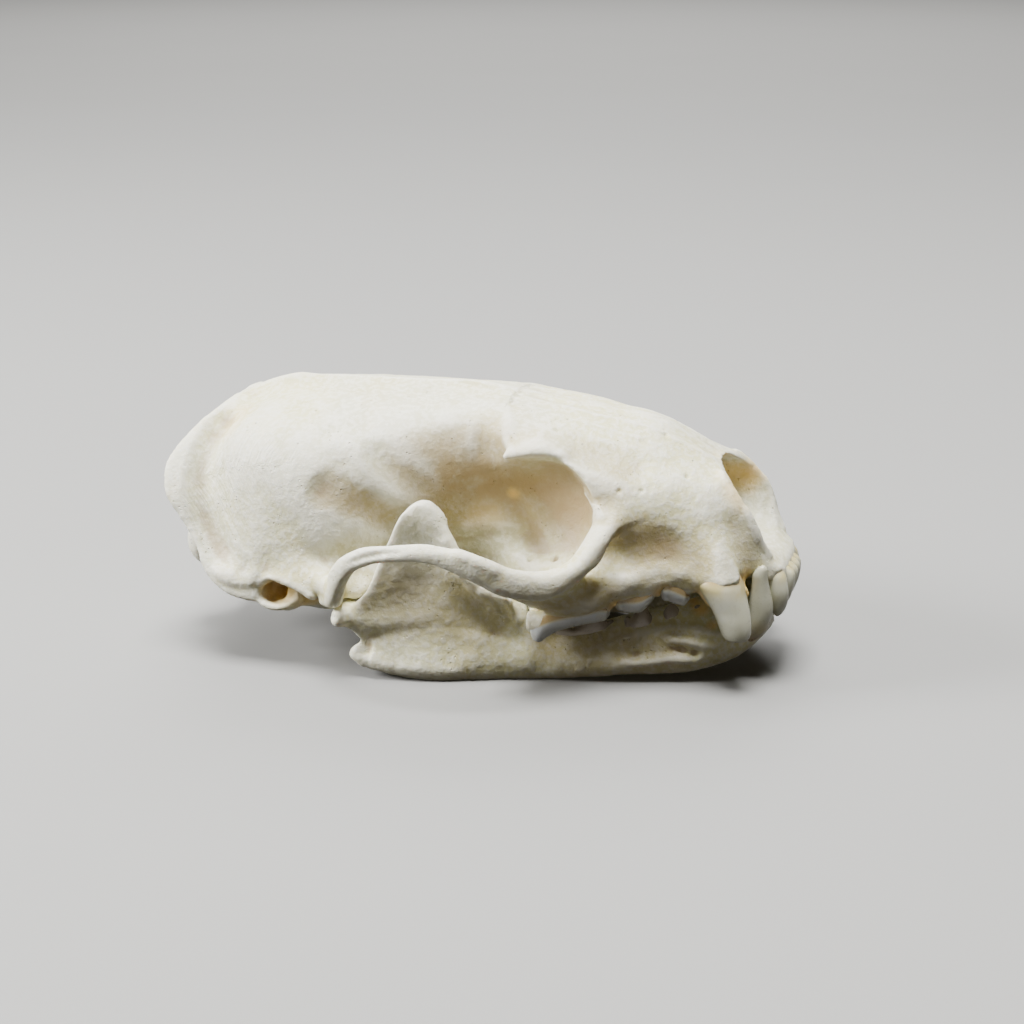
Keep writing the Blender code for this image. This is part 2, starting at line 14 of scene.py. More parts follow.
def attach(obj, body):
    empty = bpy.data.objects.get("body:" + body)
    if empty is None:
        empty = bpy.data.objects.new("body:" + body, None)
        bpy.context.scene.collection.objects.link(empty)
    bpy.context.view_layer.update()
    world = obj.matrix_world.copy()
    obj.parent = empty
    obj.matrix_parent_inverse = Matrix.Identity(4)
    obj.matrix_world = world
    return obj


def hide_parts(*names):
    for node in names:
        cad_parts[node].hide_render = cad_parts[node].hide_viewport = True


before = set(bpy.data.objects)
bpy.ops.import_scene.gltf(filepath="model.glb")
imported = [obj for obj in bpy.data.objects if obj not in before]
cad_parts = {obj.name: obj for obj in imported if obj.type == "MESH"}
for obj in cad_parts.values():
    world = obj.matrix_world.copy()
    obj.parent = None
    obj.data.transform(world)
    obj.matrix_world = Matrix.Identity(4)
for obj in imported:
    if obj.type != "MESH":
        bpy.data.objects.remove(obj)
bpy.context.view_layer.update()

MM = 0.001
ROW_SHIFT = 36.608

# The camera: the photograph's angle, distance and field of view.
IMAGE_WIDTH = 1024
FOCAL_PIXELS = 1909.9
CAMERA_AZIMUTH = 16.0
CAMERA_ELEVATION = 18.0
CAMERA_DISTANCE = 220.0
CAMERA_TARGET = (40.233, -4.0, 16.87)


def to_row(points):
    """Millimetres in the skull's frame as metres in the row frame."""
    return (np.asarray(points, float) - (ROW_SHIFT, 0, 0)) * MM


def aim(azimuth, elevation):
    """Unit vector from the target back to a viewer at this azimuth and elevation."""
    a, e = math.radians(azimuth), math.radians(elevation)
    return np.array([math.sin(a) * math.cos(e), -math.cos(a) * math.cos(e), math.sin(e)])


camera = bpy.data.objects.new("camera", bpy.data.cameras.new("camera"))
bpy.context.scene.collection.objects.link(camera)
camera.data.sensor_width = 36.0
camera.data.lens = FOCAL_PIXELS / IMAGE_WIDTH * camera.data.sensor_width
camera.data.clip_start = 0.005
back = aim(CAMERA_AZIMUTH, CAMERA_ELEVATION)
camera.location = to_row(np.array(CAMERA_TARGET) + CAMERA_DISTANCE * back)
camera.rotation_mode = "QUATERNION"
camera.rotation_quaternion = Vector(-back).to_track_quat("-Z", "Y")
bpy.context.scene.camera = camera

# Mesh detail: edge of the skin's cells in millimetres, rounds of smoothing, and triangles kept.
FINE = 0.22
SKIN_ROUNDS = 7
SKULL_EASE_ROUNDS = 260
JAW_EASE_ROUNDS = 160
CRANIUM_FACES = 190000
JAW_FACES = 90000
SKULL_SECTIONS, SKULL_STEPS = 180, 14
JAW_SECTIONS, JAW_SIDES = 110, 36
CREST_SECTIONS, CREST_SIDES = 70, 28
PLATE_STEPS, RAMUS_STEPS = 4, 5
LATITUDES, LONGITUDES = 25, 40
POLE_GAP = 0.05

# Noise: corners of its lattice on a side, and how it sways the places of strokes and tints, as
# (size in mm, reach in mm, seeds). The surface's grain is (height in mm, size in mm, seed).
LATTICE = 32
STROKE_SWAY = (9.0, 0.3, (11, 12, 13))
TINT_SWAY = (5.0, 0.9, (21, 22, 23))
SKULL_GRIT = [(0.07, 2.6, 3), (0.03, 0.9, 4)]
JAW_GRIT = [(0.08, 2.2, 5), (0.035, 0.8, 6)]

# Lines along the skull on the right side: (x, distance from the middle, z).
CROWN_LINE = [
    (4.2, 0, 24.0), (6.0, 0, 26.7), (8.5, 0, 28.1), (13, 0, 29.3), (20, 0, 30.1), (34, 0, 30.3),
    (39, 0, 30.4), (45, 0, 29.9), (51, 0, 29.2), (57, 0, 28.1), (62, 0, 25.5), (65.5, 0, 23.5),
    (69.5, 0, 20.2), (72.0, 0, 12.9)]
SHOULDER_LINE = [
    (4.2, 7.0, 21.4), (6.5, 9.4, 24.0), (10, 11.8, 25.9), (17, 13.1, 26.5), (25, 12.2, 27.0),
    (32, 9.6, 28.0), (38, 8.8, 28.2), (43, 10.4, 27.1), (47, 11.4, 26.0), (52, 11.2, 24.4),
    (57, 9.8, 23.2), (63, 7.6, 22.8), (66.0, 6.4, 22.4), (68.1, 5.9, 21.1), (70.2, 5.3, 17.1),
    (72.0, 3.6, 12.6)]
WALL_LINE = [
    (4.2, 8.0, 15.6), (7.0, 12.4, 17.4), (10, 14.9, 18.0), (13, 16.0, 18.0), (18, 16.3, 17.8),
    (24, 15.4, 18.0), (30, 12.6, 18.8), (36, 9.4, 19.6), (42, 7.8, 19.8), (47, 8.0, 19.0),
    (51, 10.8, 18.0), (54, 12.3, 17.6), (58, 11.3, 16.9), (63, 9.5, 16.4), (68, 7.3, 15.4),
    (70.5, 5.9, 13.6), (72.0, 4.2, 12.2)]
BASE_LINE = [
    (4.2, 6.6, 10.2), (8, 12.4, 10.2), (13, 15.0, 9.8), (20, 14.0, 10.0), (26, 10.4, 9.8),
    (32, 6.6, 9.4), (38, 6.4, 8.8), (42, 9.4, 9.6), (43.6, 11.0, 9.5), (44.8, 12.8, 8.0),
    (46, 13.5, 7.0), (48.5, 13.8, 8.0), (53, 13.4, 10.1), (58, 11.6, 11.5), (64, 9.7, 12.5),
    (69, 7.0, 12.4), (72.0, 4.0, 11.8)]
KEEL_LINE = [
    (4.2, 0, 9.2), (8, 0, 8.4), (20, 0, 9.0), (30, 0, 9.8), (38, 0, 10.0), (48, 0, 10.2),
    (60, 0, 11.2), (68, 0, 12.0), (72.0, 0, 11.8)]

# Rods: (x, distance from the middle, z, half height, half thickness).
ARCH = [
    (22.3, 15.2, 9.6, 1.6, 1.6), (23.1, 17.4, 9.8, 1.6, 1.2), (24.4, 19.1, 12.3, 1.3, 0.95),
    (26.3, 20.6, 14.8, 1.1, 0.85), (29.0, 21.6, 16.3, 0.95, 0.85), (32.5, 22.2, 17.1, 0.85, 0.85),
    (36.5, 22.3, 17.4, 0.95, 0.9), (40.5, 21.7, 16.3, 1.4, 0.95), (44.6, 20.2, 14.3, 1.6, 1.0),
    (48.0, 18.4, 13.7, 1.6, 1.2), (51.0, 16.2, 15.0, 1.35, 1.3), (52.6, 14.5, 17.2, 1.3, 1.5),
    (53.7, 12.9, 19.2, 1.3, 1.9), (54.4, 10.8, 20.8, 1.2, 2.0)]
CHEEK_ROOT = [
    (49.6, 16.6, 14.4, 1.0, 2.6), (48.7, 15.8, 12.6, 1.2, 5.2), (48.4, 14.8, 11.0, 1.2, 5.2),
    (48.4, 14.0, 9.8, 1.0, 4.0)]
TOP_RIDGE = [
    (6.2, 0, 26.5, 0.9, 1.4), (7.2, 0, 27.4, 1.0, 1.4), (9.0, 0, 28.5, 0.95, 1.2),
    (12.0, 0, 29.65, 0.8, 1.0), (16, 0, 30.0, 0.8, 0.9), (28, 0, 30.35, 0.7, 0.9),
    (37, 0, 30.6, 0.6, 0.9), (42, 0, 29.9, 0.4, 1.2)]
EAR_TUBE = [(17.2, 10.0, 8.2, 2.4, 2.8), (16.8, 13.6, 8.5, 2.2, 2.6), (16.5, 16.2, 8.6, 1.9, 2.3)]
EAR_LIP = [
    (13.6, 16.3, 9.2, 0.4, 0.5), (14.0, 16.7, 8.1, 0.42, 0.6), (15.4, 16.9, 7.4, 0.42, 0.65),
    (17.0, 16.7, 7.5, 0.42, 0.6), (18.3, 16.0, 8.2, 0.4, 0.5), (19.0, 15.2, 8.8, 0.35, 0.4)]
EAR_ROOF = [
    (13.4, 16.2, 10.0, 0.8, 0.9), (15.6, 16.6, 11.0, 0.8, 1.0), (18.0, 17.0, 10.8, 0.8, 0.9),
    (21.0, 17.4, 9.6, 0.7, 0.8)]
JOINT_FRONT = [(22.6, 15.0, 9.6, 1.3, 1.2), (24.6, 14.8, 9.8, 1.3, 1.3), (26.4, 13.4, 10.4, 1.2, 1.2)]
WALL_FOOT = [
    (20.0, 13.4, 10.6, 2.2, 2.0), (24.6, 12.9, 10.0, 2.8, 2.0), (28.0, 11.8, 11.2, 2.6, 2.0),
    (31.0, 10.2, 12.8, 2.2, 1.7), (33.4, 8.6, 13.4, 1.4, 1.0)]
JOINT_SHELF = [(20.5, 11.5, 12.5, 3.2, 4.0), (21.8, 14.4, 11.0, 2.1, 2.8), (22.8, 17.2, 10.2, 1.4, 1.5)]
REAR_ROOT = [(16.5, 15.2, 12.6, 1.4, 1.3), (20.0, 16.4, 11.8, 1.4, 1.3), (23.4, 17.6, 10.4, 1.4, 1.3)]
CANINE_ROOT = [(63.2, 6.6, 20.0, 1.4, 1.3), (64.6, 7.8, 16.4, 2.1, 1.9), (65.8, 8.85, 12.9, 2.5, 2.05)]
BROW_POINT = [
    (48.0, 9.0, 26.3, 1.2, 2.4), (45.0, 9.9, 26.6, 1.3, 2.2), (42.8, 10.9, 26.3, 1.0, 1.5),
    (41.3, 11.9, 25.6, 0.45, 0.5)]
GUM_RIDGE = [
    (44.9, 13.9, 7.6, 1.3, 0.95), (46.6, 13.9, 7.7, 1.3, 1.0), (48.2, 13.75, 8.4, 1.4, 1.0),
    (50.6, 13.3, 9.4, 1.5, 1.0), (52.8, 12.6, 10.1, 1.4, 0.95), (54.2, 12.1, 11.1, 1.2, 0.85),
    (56.4, 11.5, 11.2, 1.1, 0.85), (57.8, 11.2, 11.8, 1.1, 0.85), (59.4, 10.7, 12.8, 1.0, 0.85),
    (60.8, 10.3, 12.5, 1.0, 0.8), (62.0, 10.0, 12.0, 0.9, 0.8), (63.2, 9.7, 12.8, 0.9, 0.8)]
GUM_SCRAPS = [
    [(58.9, 10.8, 12.6, 0.5, 0.6), (58.8, 10.9, 11.6, 0.5, 0.65), (59.0, 10.9, 10.9, 0.3, 0.4)],
    [(54.2, 12.0, 11.4, 0.5, 0.5), (54.3, 12.1, 10.6, 0.5, 0.5), (54.4, 12.1, 10.2, 0.3, 0.3)],
    [(63.2, 9.6, 12.8, 0.6, 0.9), (63.9, 9.7, 11.4, 0.6, 0.8), (64.8, 9.6, 10.0, 0.5, 0.6)],
    [(67.9, 7.5, 13.6, 0.6, 0.7), (68.0, 7.5, 12.0, 0.5, 0.6), (68.1, 7.4, 10.6, 0.4, 0.5)]]
CANINE_COLLAR = [
    (62.9, 9.6, 12.7, 0.7, 0.6), (63.8, 10.3, 12.75, 0.8, 0.6), (65.0, 10.6, 13.1, 0.9, 0.5),
    (66.4, 10.5, 13.4, 0.9, 0.5), (67.4, 9.8, 13.6, 0.9, 0.5), (67.7, 9.2, 13.8, 0.7, 0.5)]

# Rods cut away, in the same form.
BRAIN_WAY = [(-3, 0, 12.6, 3.4, 4.4), (3, 0, 12.8, 3.6, 4.4), (8, 0, 14.2, 4.2, 5.4)]
NOSE_WAY = [
    (78, 0, 17.2, 3.8, 6.6), (72, 0, 19.4, 5.3, 6.5), (68, 0, 19.8, 5.1, 5.9), (65, 0, 19.8, 4.8, 5.2),
    (62, 0, 19.6, 4.3, 4.4), (57, 0, 19.4, 3.0, 2.8)]
THROAT = [(25, 0, 5.6, 2.4, 3.2), (33, 0, 8.2, 2.4, 3.0), (41, 0, 11.4, 1.4, 2.2)]
PALATE = [
    (41.5, 0, 4.6, 4.2, 11.2), (46, 0, 4.6, 4.9, 12.2), (52, 0, 6.0, 4.4, 11.7), (58, 0, 7.2, 3.9, 9.8),
    (64, 0, 8.4, 3.4, 7.9), (69.6, 0, 9.0, 2.8, 6.0)]
ORBIT_BED = [
    (36.0, 15.4, 17.8, 2.6, 4.0), (40.0, 14.4, 17.4, 3.8, 6.0), (46.0, 14.2, 17.4, 4.3, 6.8),
    (49.6, 13.8, 17.8, 3.6, 4.6), (51.6, 13.8, 18.0, 2.4, 2.4)]
EAR_WAY = [(16.6, 12.0, 8.8, 1.1, 1.2), (15.9, 15.0, 9.1, 1.3, 1.35), (15.3, 20.0, 9.5, 1.5, 1.6)]
NOSE_FRONT = [
    (64.0, 24.4), (65.2, 23.2), (66.6, 22.0), (67.5, 21.0), (68.6, 19.2), (69.2, 17.2), (69.9, 15.5),
    (70.8, 14.2), (72.6, 13.7), (80.0, 14.0), (80.0, 30.0), (63.0, 30.0), (63.3, 25.6)]
CHEEK_WAY = [(49.0, 12.4, 15.0, 1.2, 1.1), (53.5, 12.6, 15.2, 1.2, 1.1), (58.0, 13.8, 15.6, 1.5, 1.4)]
SOCKET_ROOM = [
    (68.9, 5.8, 8.0, 1.7, 1.6), (69.2, 6.4, 11.6, 1.5, 1.4), (69.25, 7.6, 12.8, 1.25, 1.25),
    (69.3, 9.4, 13.4, 1.2, 1.2)]
PALATE_SLIT = [(64.6, 1.5, 10.6, 0.8, 0.6), (66.4, 1.5, 11.0, 0.9, 0.7), (68.0, 1.4, 11.2, 0.8, 0.5)]

# Balls on the right side: centre (x, distance from the middle, z), radii.
BRAIN_ROOM = ((16.0, 0, 18.6), (9.6, 12.2, 8.6))
FORAMEN_LIP = ((4.8, 0, 12.2), (2.4, 7.6, 4.4))
ORBIT = ((45.8, 15.2, 19.8), (6.9, 8.0, 7.0))
NAPE_CONDYLE = ((3.0, 6.0, 10.7), (2.7, 2.2, 3.1))
MASTOID = ((11.6, 15.0, 10.9), (4.6, 2.8, 2.8))
NAPE_PEG = ((9.0, 10.8, 8.6), (2.2, 1.8, 2.3))
BULLA = ((18.6, 9.9, 8.7), (6.2, 4.5, 3.5))
PTERYGOID = ((31.5, 4.3, 8.0), (6.5, 0.9, 2.2))
INCISOR_BED = ((69.6, 3.2, 13.2), (1.9, 2.8, 1.2))
TEAR_BUMP = ((52.4, 12.1, 20.0), (1.0, 0.9, 1.0))
JOINT_CUP = ((24.0, 15.2, 7.2), (1.75, 4.5, 1.68))
JOINT_HEAD = ((24.1, 15.2, 7.2), (1.45, 4.1, 1.4))
CHEEK_HOLLOW = ((33.6, 19.0, 8.4), (7.0, 3.3, 5.2))

# Crest round the nape: (x, distance from the middle, z) of its free edge, then of its foot in the bone.
NAPE_EDGE = [
    (5.2, 0, 27.7), (4.8, 5.6, 27.2), (2.8, 9.3, 25.2), (1.1, 12.9, 21.8), (1.5, 14.3, 19.2),
    (3.8, 15.0, 16.0), (5.8, 16.0, 13.0), (7.9, 16.9, 9.9), (10.4, 17.4, 8.4), (13.6, 17.2, 7.8)]
NAPE_FOOT = [
    (9.0, 0, 26.0), (9.0, 4.8, 25.4), (9.0, 7.6, 23.6), (9.0, 10.0, 21.0), (9.2, 11.4, 18.6),
    (9.8, 12.2, 16.2), (10.6, 13.0, 13.8), (11.6, 13.8, 12.0), (12.8, 14.4, 11.4), (14.6, 14.6, 11.2)]
NAPE_GROOVE = [
    (6.2, 7.9, 26.3), (5.5, 10.4, 24.5), (5.3, 12.4, 22.1), (5.6, 13.8, 19.5), (6.4, 14.7, 16.8),
    (7.8, 15.4, 14.4), (9.4, 16.4, 12.8), (11.8, 17.6, 11.6)]

# Lower jaw on the right: (x, distance from the middle, z below, z above, half thickness).
JAW = [
    (27.5, 15.8, 0.8, 6.5, 1.3), (30, 15.4, 0.3, 7.6, 1.5), (34, 14.6, -0.2, 8.0, 1.7),
    (38, 13.3, -0.2, 7.6, 1.9), (44, 11.3, -0.2, 5.8, 1.8), (50, 10.0, 0.2, 6.2, 2.1),
    (56, 8.5, 0.7, 7.6, 2.3), (61, 7.0, 0.9, 9.0, 2.4), (65, 5.6, 1.7, 10.0, 2.6),
    (68.5, 3.9, 3.5, 10.4, 2.4), (70.6, 2.3, 5.8, 10.0, 1.7)]
JAW_LEAN = 0.2
RAMUS = [
    (46.4, 4.4), (44.9, 6.8), (42.6, 9.8), (39.5, 11.9), (36.9, 14.4), (36.0, 17.2), (35.5, 19.7),
    (33.5, 21.3), (31.2, 19.8), (29.6, 16.4), (28.2, 13.2), (27.0, 10.4), (25.2, 8.6), (23.8, 7.2),
    (24.4, 6.0), (25.5, 5.1), (26.0, 4.2), (25.3, 3.5), (24.5, 2.4), (25.4, 1.4), (27.5, 0.7),
    (31.0, 0.4), (38.0, 0.6)]
RAMUS_HALF = 1.0
RAMUS_LEAN = 0.06
RAMUS_FOOT = 6.0
RAMUS_REAR = (23.5, 16.4)
JOINT_NECK = [(24.8, 15.8, 7.0, 1.0, 1.3), (27.4, 15.8, 7.8, 1.4, 1.2), (31.0, 15.4, 8.2, 1.2, 1.0)]
ANGLE_HOOK = [
    (30.0, 15.6, 1.7, 1.3, 1.3), (27.0, 16.1, 1.9, 1.0, 1.0), (25.2, 16.4, 2.7, 0.6, 0.6),
    (24.6, 16.5, 3.2, 0.12, 0.12)]
CORONOID_EDGE = [
    (43.9, 11.6, 6.5, 1.5, 1.2), (41.7, 13.0, 9.6, 1.4, 1.3), (37.4, 14.8, 13.2, 1.3, 1.2),
    (35.3, 15.5, 17.4, 1.2, 1.1), (33.8, 15.8, 19.5, 1.2, 1.1)]
CHIN = [
    (56.8, 7.2, 4.4, 0.8, 0.6), (60.5, 5.4, 4.8, 2.8, 2.2), (65.0, 2.9, 6.0, 3.4, 2.8),
    (69.4, 1.9, 8.4, 2.8, 2.2)]
# The slab that cuts a jaw half off at the middle of the chin.
SYMPHYSIS_GAP = 0.15
OTHER_HALF_WIDTH = 26.0
OTHER_HALF_X = (50, 80)
OTHER_HALF_Z = (-10, 30)

# Where the joins between the skull's parts are smoothed: (strength, reach, places).
SKULL_EASE = [
    (0.7, 3.0, [(9.0, 3.2, 27.6), (8.4, 5.6, 27.0)]),
    (1.0, 4.0, [(8.4, 7.6, 25.8), (7.2, 10.0, 23.8), (6.6, 11.8, 21.6), (6.8, 13.0, 19.3),
        (7.4, 13.8, 16.8), (8.6, 14.6, 14.6)]),
    (1.0, 2.4, [(9.0, 1.8, 28.0), (16.0, 1.8, 29.6), (28.0, 1.8, 30.0), (37.0, 1.8, 30.2),
        (42.0, 1.8, 29.8)]),
    (1.0, 3.0, [(47.0, 9.6, 27.2), (44.4, 9.8, 27.2), (42.6, 10.2, 26.9)]),
    (1.0, 6.0, [(36.0, 8.6, 20.0), (41.0, 7.8, 20.0), (46.0, 7.4, 19.5), (49.6, 8.6, 18.0)]),
    (1.0, 4.0, [(34.0, 9.6, 25.0), (39.0, 9.0, 25.0), (43.0, 8.4, 24.0)]),
    (1.0, 3.2, [(54.6, 12.8, 20.4), (55.4, 12.6, 18.4), (55.4, 12.6, 16.8)]),
    (1.0, 3.4, [(53.4, 13.8, 12.6), (51.0, 16.0, 11.6), (49.4, 16.2, 11.2)]),
    (1.0, 4.4, [(61.6, 8.4, 21.4), (61.8, 9.6, 18.2), (62.0, 10.6, 15.6)]),
    (1.0, 3.4, [(65.0, 7.0, 20.8), (66.2, 7.8, 18.4), (67.2, 8.2, 16.0), (68.4, 7.4, 14.8)]),
    (1.0, 3.4, [(56.4, 12.6, 16.4), (58.6, 12.0, 15.0), (60.6, 11.2, 14.6)]),
    (0.9, 2.6, [(34.0, 9.2, 14.4), (37.4, 8.6, 14.8), (41.0, 8.2, 15.0)]),
    (0.9, 2.4, [(49.6, 17.0, 12.4), (51.8, 15.6, 13.6)]),
    (0.9, 2.4, [(48.4, 14.8, 10.8), (50.6, 14.2, 11.6), (53.4, 13.2, 12.4)]),
    (0.8, 2.0, [(56.0, 12.2, 12.9), (58.0, 11.8, 13.4), (60.4, 11.0, 14.0), (62.6, 10.4, 14.0)]),
    (0.8, 2.2, [(61.4, 10.4, 13.2), (63.0, 10.6, 13.6), (64.4, 11.0, 14.4)]),
    (0.7, 1.5, [(64.8, 11.0, 14.6), (66.6, 10.8, 14.6), (67.6, 9.9, 14.8)]),
    (0.8, 2.6, [(50.4, 14.6, 13.0), (53.4, 13.2, 14.6), (54.2, 12.9, 12.6)]),
    (1.0, 2.6, [(16.0, 15.6, 12.6), (19.0, 16.6, 12.4), (22.6, 17.2, 11.6)]),
    (1.0, 2.4, [(24.6, 16.0, 12.0), (23.0, 14.4, 13.4)]),
    (0.4, 1.8, [(70.2, 4.8, 14.8), (71.0, 2.8, 14.2), (71.1, 0.0, 14.0)]),
    (0.9, 5.0, [(4.6, 0.0, 23.4), (4.8, 5.0, 22.6), (4.8, 7.6, 19.4), (4.8, 7.8, 15.4)]),
    (0.9, 2.4, [(4.4, 7.6, 9.6), (4.0, 7.8, 11.6), (4.0, 6.2, 13.6)]),
    (1.0, 2.8, [(5.0, 0.0, 7.8), (5.0, 3.6, 8.2), (5.4, 6.4, 8.6)]),
    (1.0, 3.0, [(9.0, 10.8, 9.4), (11.0, 13.2, 9.0), (8.2, 9.0, 9.0), (10.0, 11.8, 9.2)]),
    (1.0, 2.6, [(14.4, 13.4, 7.6), (17.0, 12.8, 6.4), (19.6, 13.2, 7.4)]),
    (1.0, 3.2, [(24.0, 9.6, 9.4), (28.0, 10.2, 9.4), (32.0, 9.0, 12.0), (33.4, 8.4, 14.0)]),
    (0.8, 2.4, [(20.4, 14.0, 8.0), (21.6, 13.0, 9.4)]),
    (0.8, 2.4, [(12.6, 15.8, 13.0), (10.4, 15.8, 13.4)]),
]

# Strokes of the chisel on the skull: (rise, or fall if negative, reach, places along the stroke).
SKULL_STROKES = [
    (-0.85, 2.3, NAPE_GROOVE),
    (0.15, 2.0, [(5.4, 2.4, 27.5), (5.6, 5.2, 27.2), (4.6, 8.2, 26.2)]),
    (-0.5, 2.8, [(22.0, 15.3, 21.4), (24.4, 14.9, 20.2), (27.4, 13.6, 18.4), (29.5, 12.6, 17.2)]),
    (0.3, 2.3, [(22.6, 13.6, 26.2), (24.6, 14.4, 25.2), (27.2, 14.0, 22.6), (29.4, 13.5, 20.8)]),
    (0.2, 3.0, [(13.5, 15.6, 25.0), (15.3, 16.2, 23.6), (19.3, 17.0, 18.6), (23.4, 17.0, 14.4)]),
    (-0.28, 2.4, [(27.4, 13.2, 25.0), (29.4, 13.0, 23.2), (31.4, 12.2, 21.6)]),
    (0.16, 1.2, [(41.7, 11.4, 26.4), (41.6, 9.9, 27.4), (41.3, 8.4, 28.4), (39.9, 5.6, 29.5)]),
    (-0.35, 2.4, [(39.4, 10.6, 25.6), (38.6, 8.6, 27.4)]),
    (0.14, 0.7, [(41.4, 2.4, 30.2), (45.0, 2.8, 29.7), (49.8, 3.2, 29.0), (54.8, 3.0, 28.1),
        (59.4, 2.8, 26.4), (63.1, 2.6, 24.7)]),
    (-0.16, 0.9, [(42.0, 1.3, 30.3), (46.0, 1.6, 29.8), (52.0, 1.7, 29.0), (58.0, 1.4, 27.2),
        (63.0, 1.2, 25.0)]),
    (-0.16, 0.45, [(33.2, 0.6, 31.0), (34.9, 0.9, 30.8), (36.8, 1.4, 30.5), (37.9, 1.9, 30.3)]),
    (0.12, 0.7, [(42.0, 4.7, 29.8), (45.7, 5.3, 29.2), (50.3, 5.3, 28.3), (55.1, 5.1, 27.2)]),
    (-0.35, 3.0, [(48.0, 9.8, 27.2), (51.7, 9.5, 26.2), (55.0, 8.8, 25.4)]),
    (0.25, 3.2, [(63.6, 9.0, 19.2), (64.9, 10.0, 16.8), (65.6, 10.6, 15.2)]),
    (-0.25, 2.6, [(66.8, 7.6, 18.6), (67.4, 7.9, 16.6), (68.0, 8.0, 14.8)]),
    (0.3, 0.9, [(64.6, 4.6, 23.6), (66.2, 5.8, 22.5), (67.7, 6.1, 21.1), (68.0, 6.4, 19.2),
        (68.9, 6.1, 16.9), (70.2, 5.2, 14.9)]),
    (-0.5, 3.4, [(55.4, 13.0, 16.6), (57.4, 12.4, 16.2), (60.0, 11.4, 16.4)]),
    (0.12, 1.2, [(56.2, 13.0, 13.0), (57.6, 12.5, 14.0), (59.2, 11.8, 14.6), (61.4, 11.0, 14.2),
        (63.2, 10.6, 13.4)]),
    (-0.08, 0.6, [(55.0, 13.6, 19.0), (56.1, 12.1, 19.3), (57.4, 11.6, 19.7)]),
    (0.35, 0.9, [(14.3, 16.8, 10.2), (15.4, 16.6, 11.0), (17.1, 16.9, 11.0), (18.8, 16.9, 10.3),
        (20.4, 17.3, 9.6), (21.8, 17.5, 9.0)]),
    (-0.6, 1.8, [(19.4, 15.2, 8.9), (21.0, 15.6, 8.4)]),
    (0.35, 0.8, [(50.6, 10.4, 22.0), (51.6, 11.4, 21.3), (52.3, 12.4, 20.9), (52.9, 12.9, 20.2)]),
    (0.2, 1.4, [(36.0, 8.8, 16.2), (38.8, 8.3, 16.9), (42.2, 7.7, 16.6)]),
    (-0.08, 1.0, [(34.4, 9.0, 14.6), (37.0, 8.4, 15.3), (40.0, 8.0, 15.4)]),
    (0.12, 1.4, [(43.2, 7.1, 20.2), (44.6, 7.2, 18.0), (46.4, 8.0, 15.8)]),
]
ARCH_STROKES = [
    (-0.3, 0.5, [(25.6, 20.3, 14.2), (26.8, 21.3, 15.3), (29.3, 22.4, 16.6), (31.8, 22.8, 17.3),
        (34.3, 22.9, 17.6)]),
    (0.18, 0.6, [(26.0, 20.2, 15.2), (28.2, 21.6, 16.8), (31.0, 22.4, 17.9), (34.0, 22.6, 18.2),
        (36.8, 22.6, 18.5)]),
    (0.3, 1.2, [(39.6, 22.2, 17.8), (41.4, 21.8, 17.2), (43.2, 21.2, 16.2)]),
]
# Pits and foramina: (depth, radius, place).
SKULL_PITS = [
    (0.55, 0.5, (57.6, 11.6, 19.8)), (0.28, 0.4, (54.4, 11.3, 22.8)), (0.28, 0.4, (56.7, 10.3, 22.7)),
    (0.3, 0.35, (61.1, 7.1, 23.8)), (0.3, 0.3, (46.5, 7.8, 28.2)), (0.35, 0.35, (57.8, 3.0, 27.2)),
    (0.4, 0.35, (44.0, 10.0, 13.4)), (0.7, 0.6, (46.9, 9.9, 13.8)),
    (0.35, 0.3, (36.8, 9.0, 24.8)),
    (0.8, 0.6, (50.4, 11.6, 19.6)), (0.5, 0.35, (49.9, 9.6, 14.9)),
]


def along(keys, x):
    """Read the columns of keys (place, values...) at x: a cubic through them, sloped by the neighbours."""
    keys = np.asarray(keys, float)
    place, value = keys[:, 0], keys[:, 1:]
    slope = np.gradient(value, place, axis=0)
    i = np.clip(np.searchsorted(place, x) - 1, 0, len(place) - 2)
    h = (place[i + 1] - place[i])[:, None]
    t = (np.asarray(x, float)[:, None] - place[i][:, None]) / h
    return ((2 * t**3 - 3 * t**2 + 1) * value[i] + (t**3 - 2 * t**2 + t) * h * slope[i]
            + (3 * t**2 - 2 * t**3) * value[i + 1] + (t**3 - t**2) * h * slope[i + 1])


def spread(points, count):
    """A smooth curve through points, read at count places an equal share of its length apart."""
    points = np.asarray(points, float)
    steps = np.linalg.norm(np.diff(points[:, :3], axis=0), axis=1)
    run = np.concatenate([[0.0], np.cumsum(steps)])
    return along(np.column_stack([run, points]), np.linspace(0.0, run[-1], count))


def circle(count, power=1.0):
    """Cosines and sines of count turns round a circle, squarer for a power below 1."""
    turn = np.linspace(0.0, 2 * np.pi, count, endpoint=False)
    return [np.sign(wave) * np.abs(wave) ** power for wave in (np.cos(turn), np.sin(turn))]


def closed_curve(corners, per_side):
    """Rings through corners (ring, corner, axis): each side is a cubic sloped by its two neighbours."""
    before, after = np.roll(corners, 1, axis=1), np.roll(corners, -1, axis=1)
    beyond = np.roll(corners, -2, axis=1)
    t = (np.arange(per_side) / per_side)[:, None]
    sides = []
    for i in range(corners.shape[1]):
        a, b, c, d = (p[:, i, None, :] for p in (before, corners, after, beyond))
        sides.append(b + 0.5 * t * (c - a + t * (2 * a - 5 * b + 4 * c - d + t * (3 * (b - c) + d - a))))
    return np.concatenate(sides, axis=1)


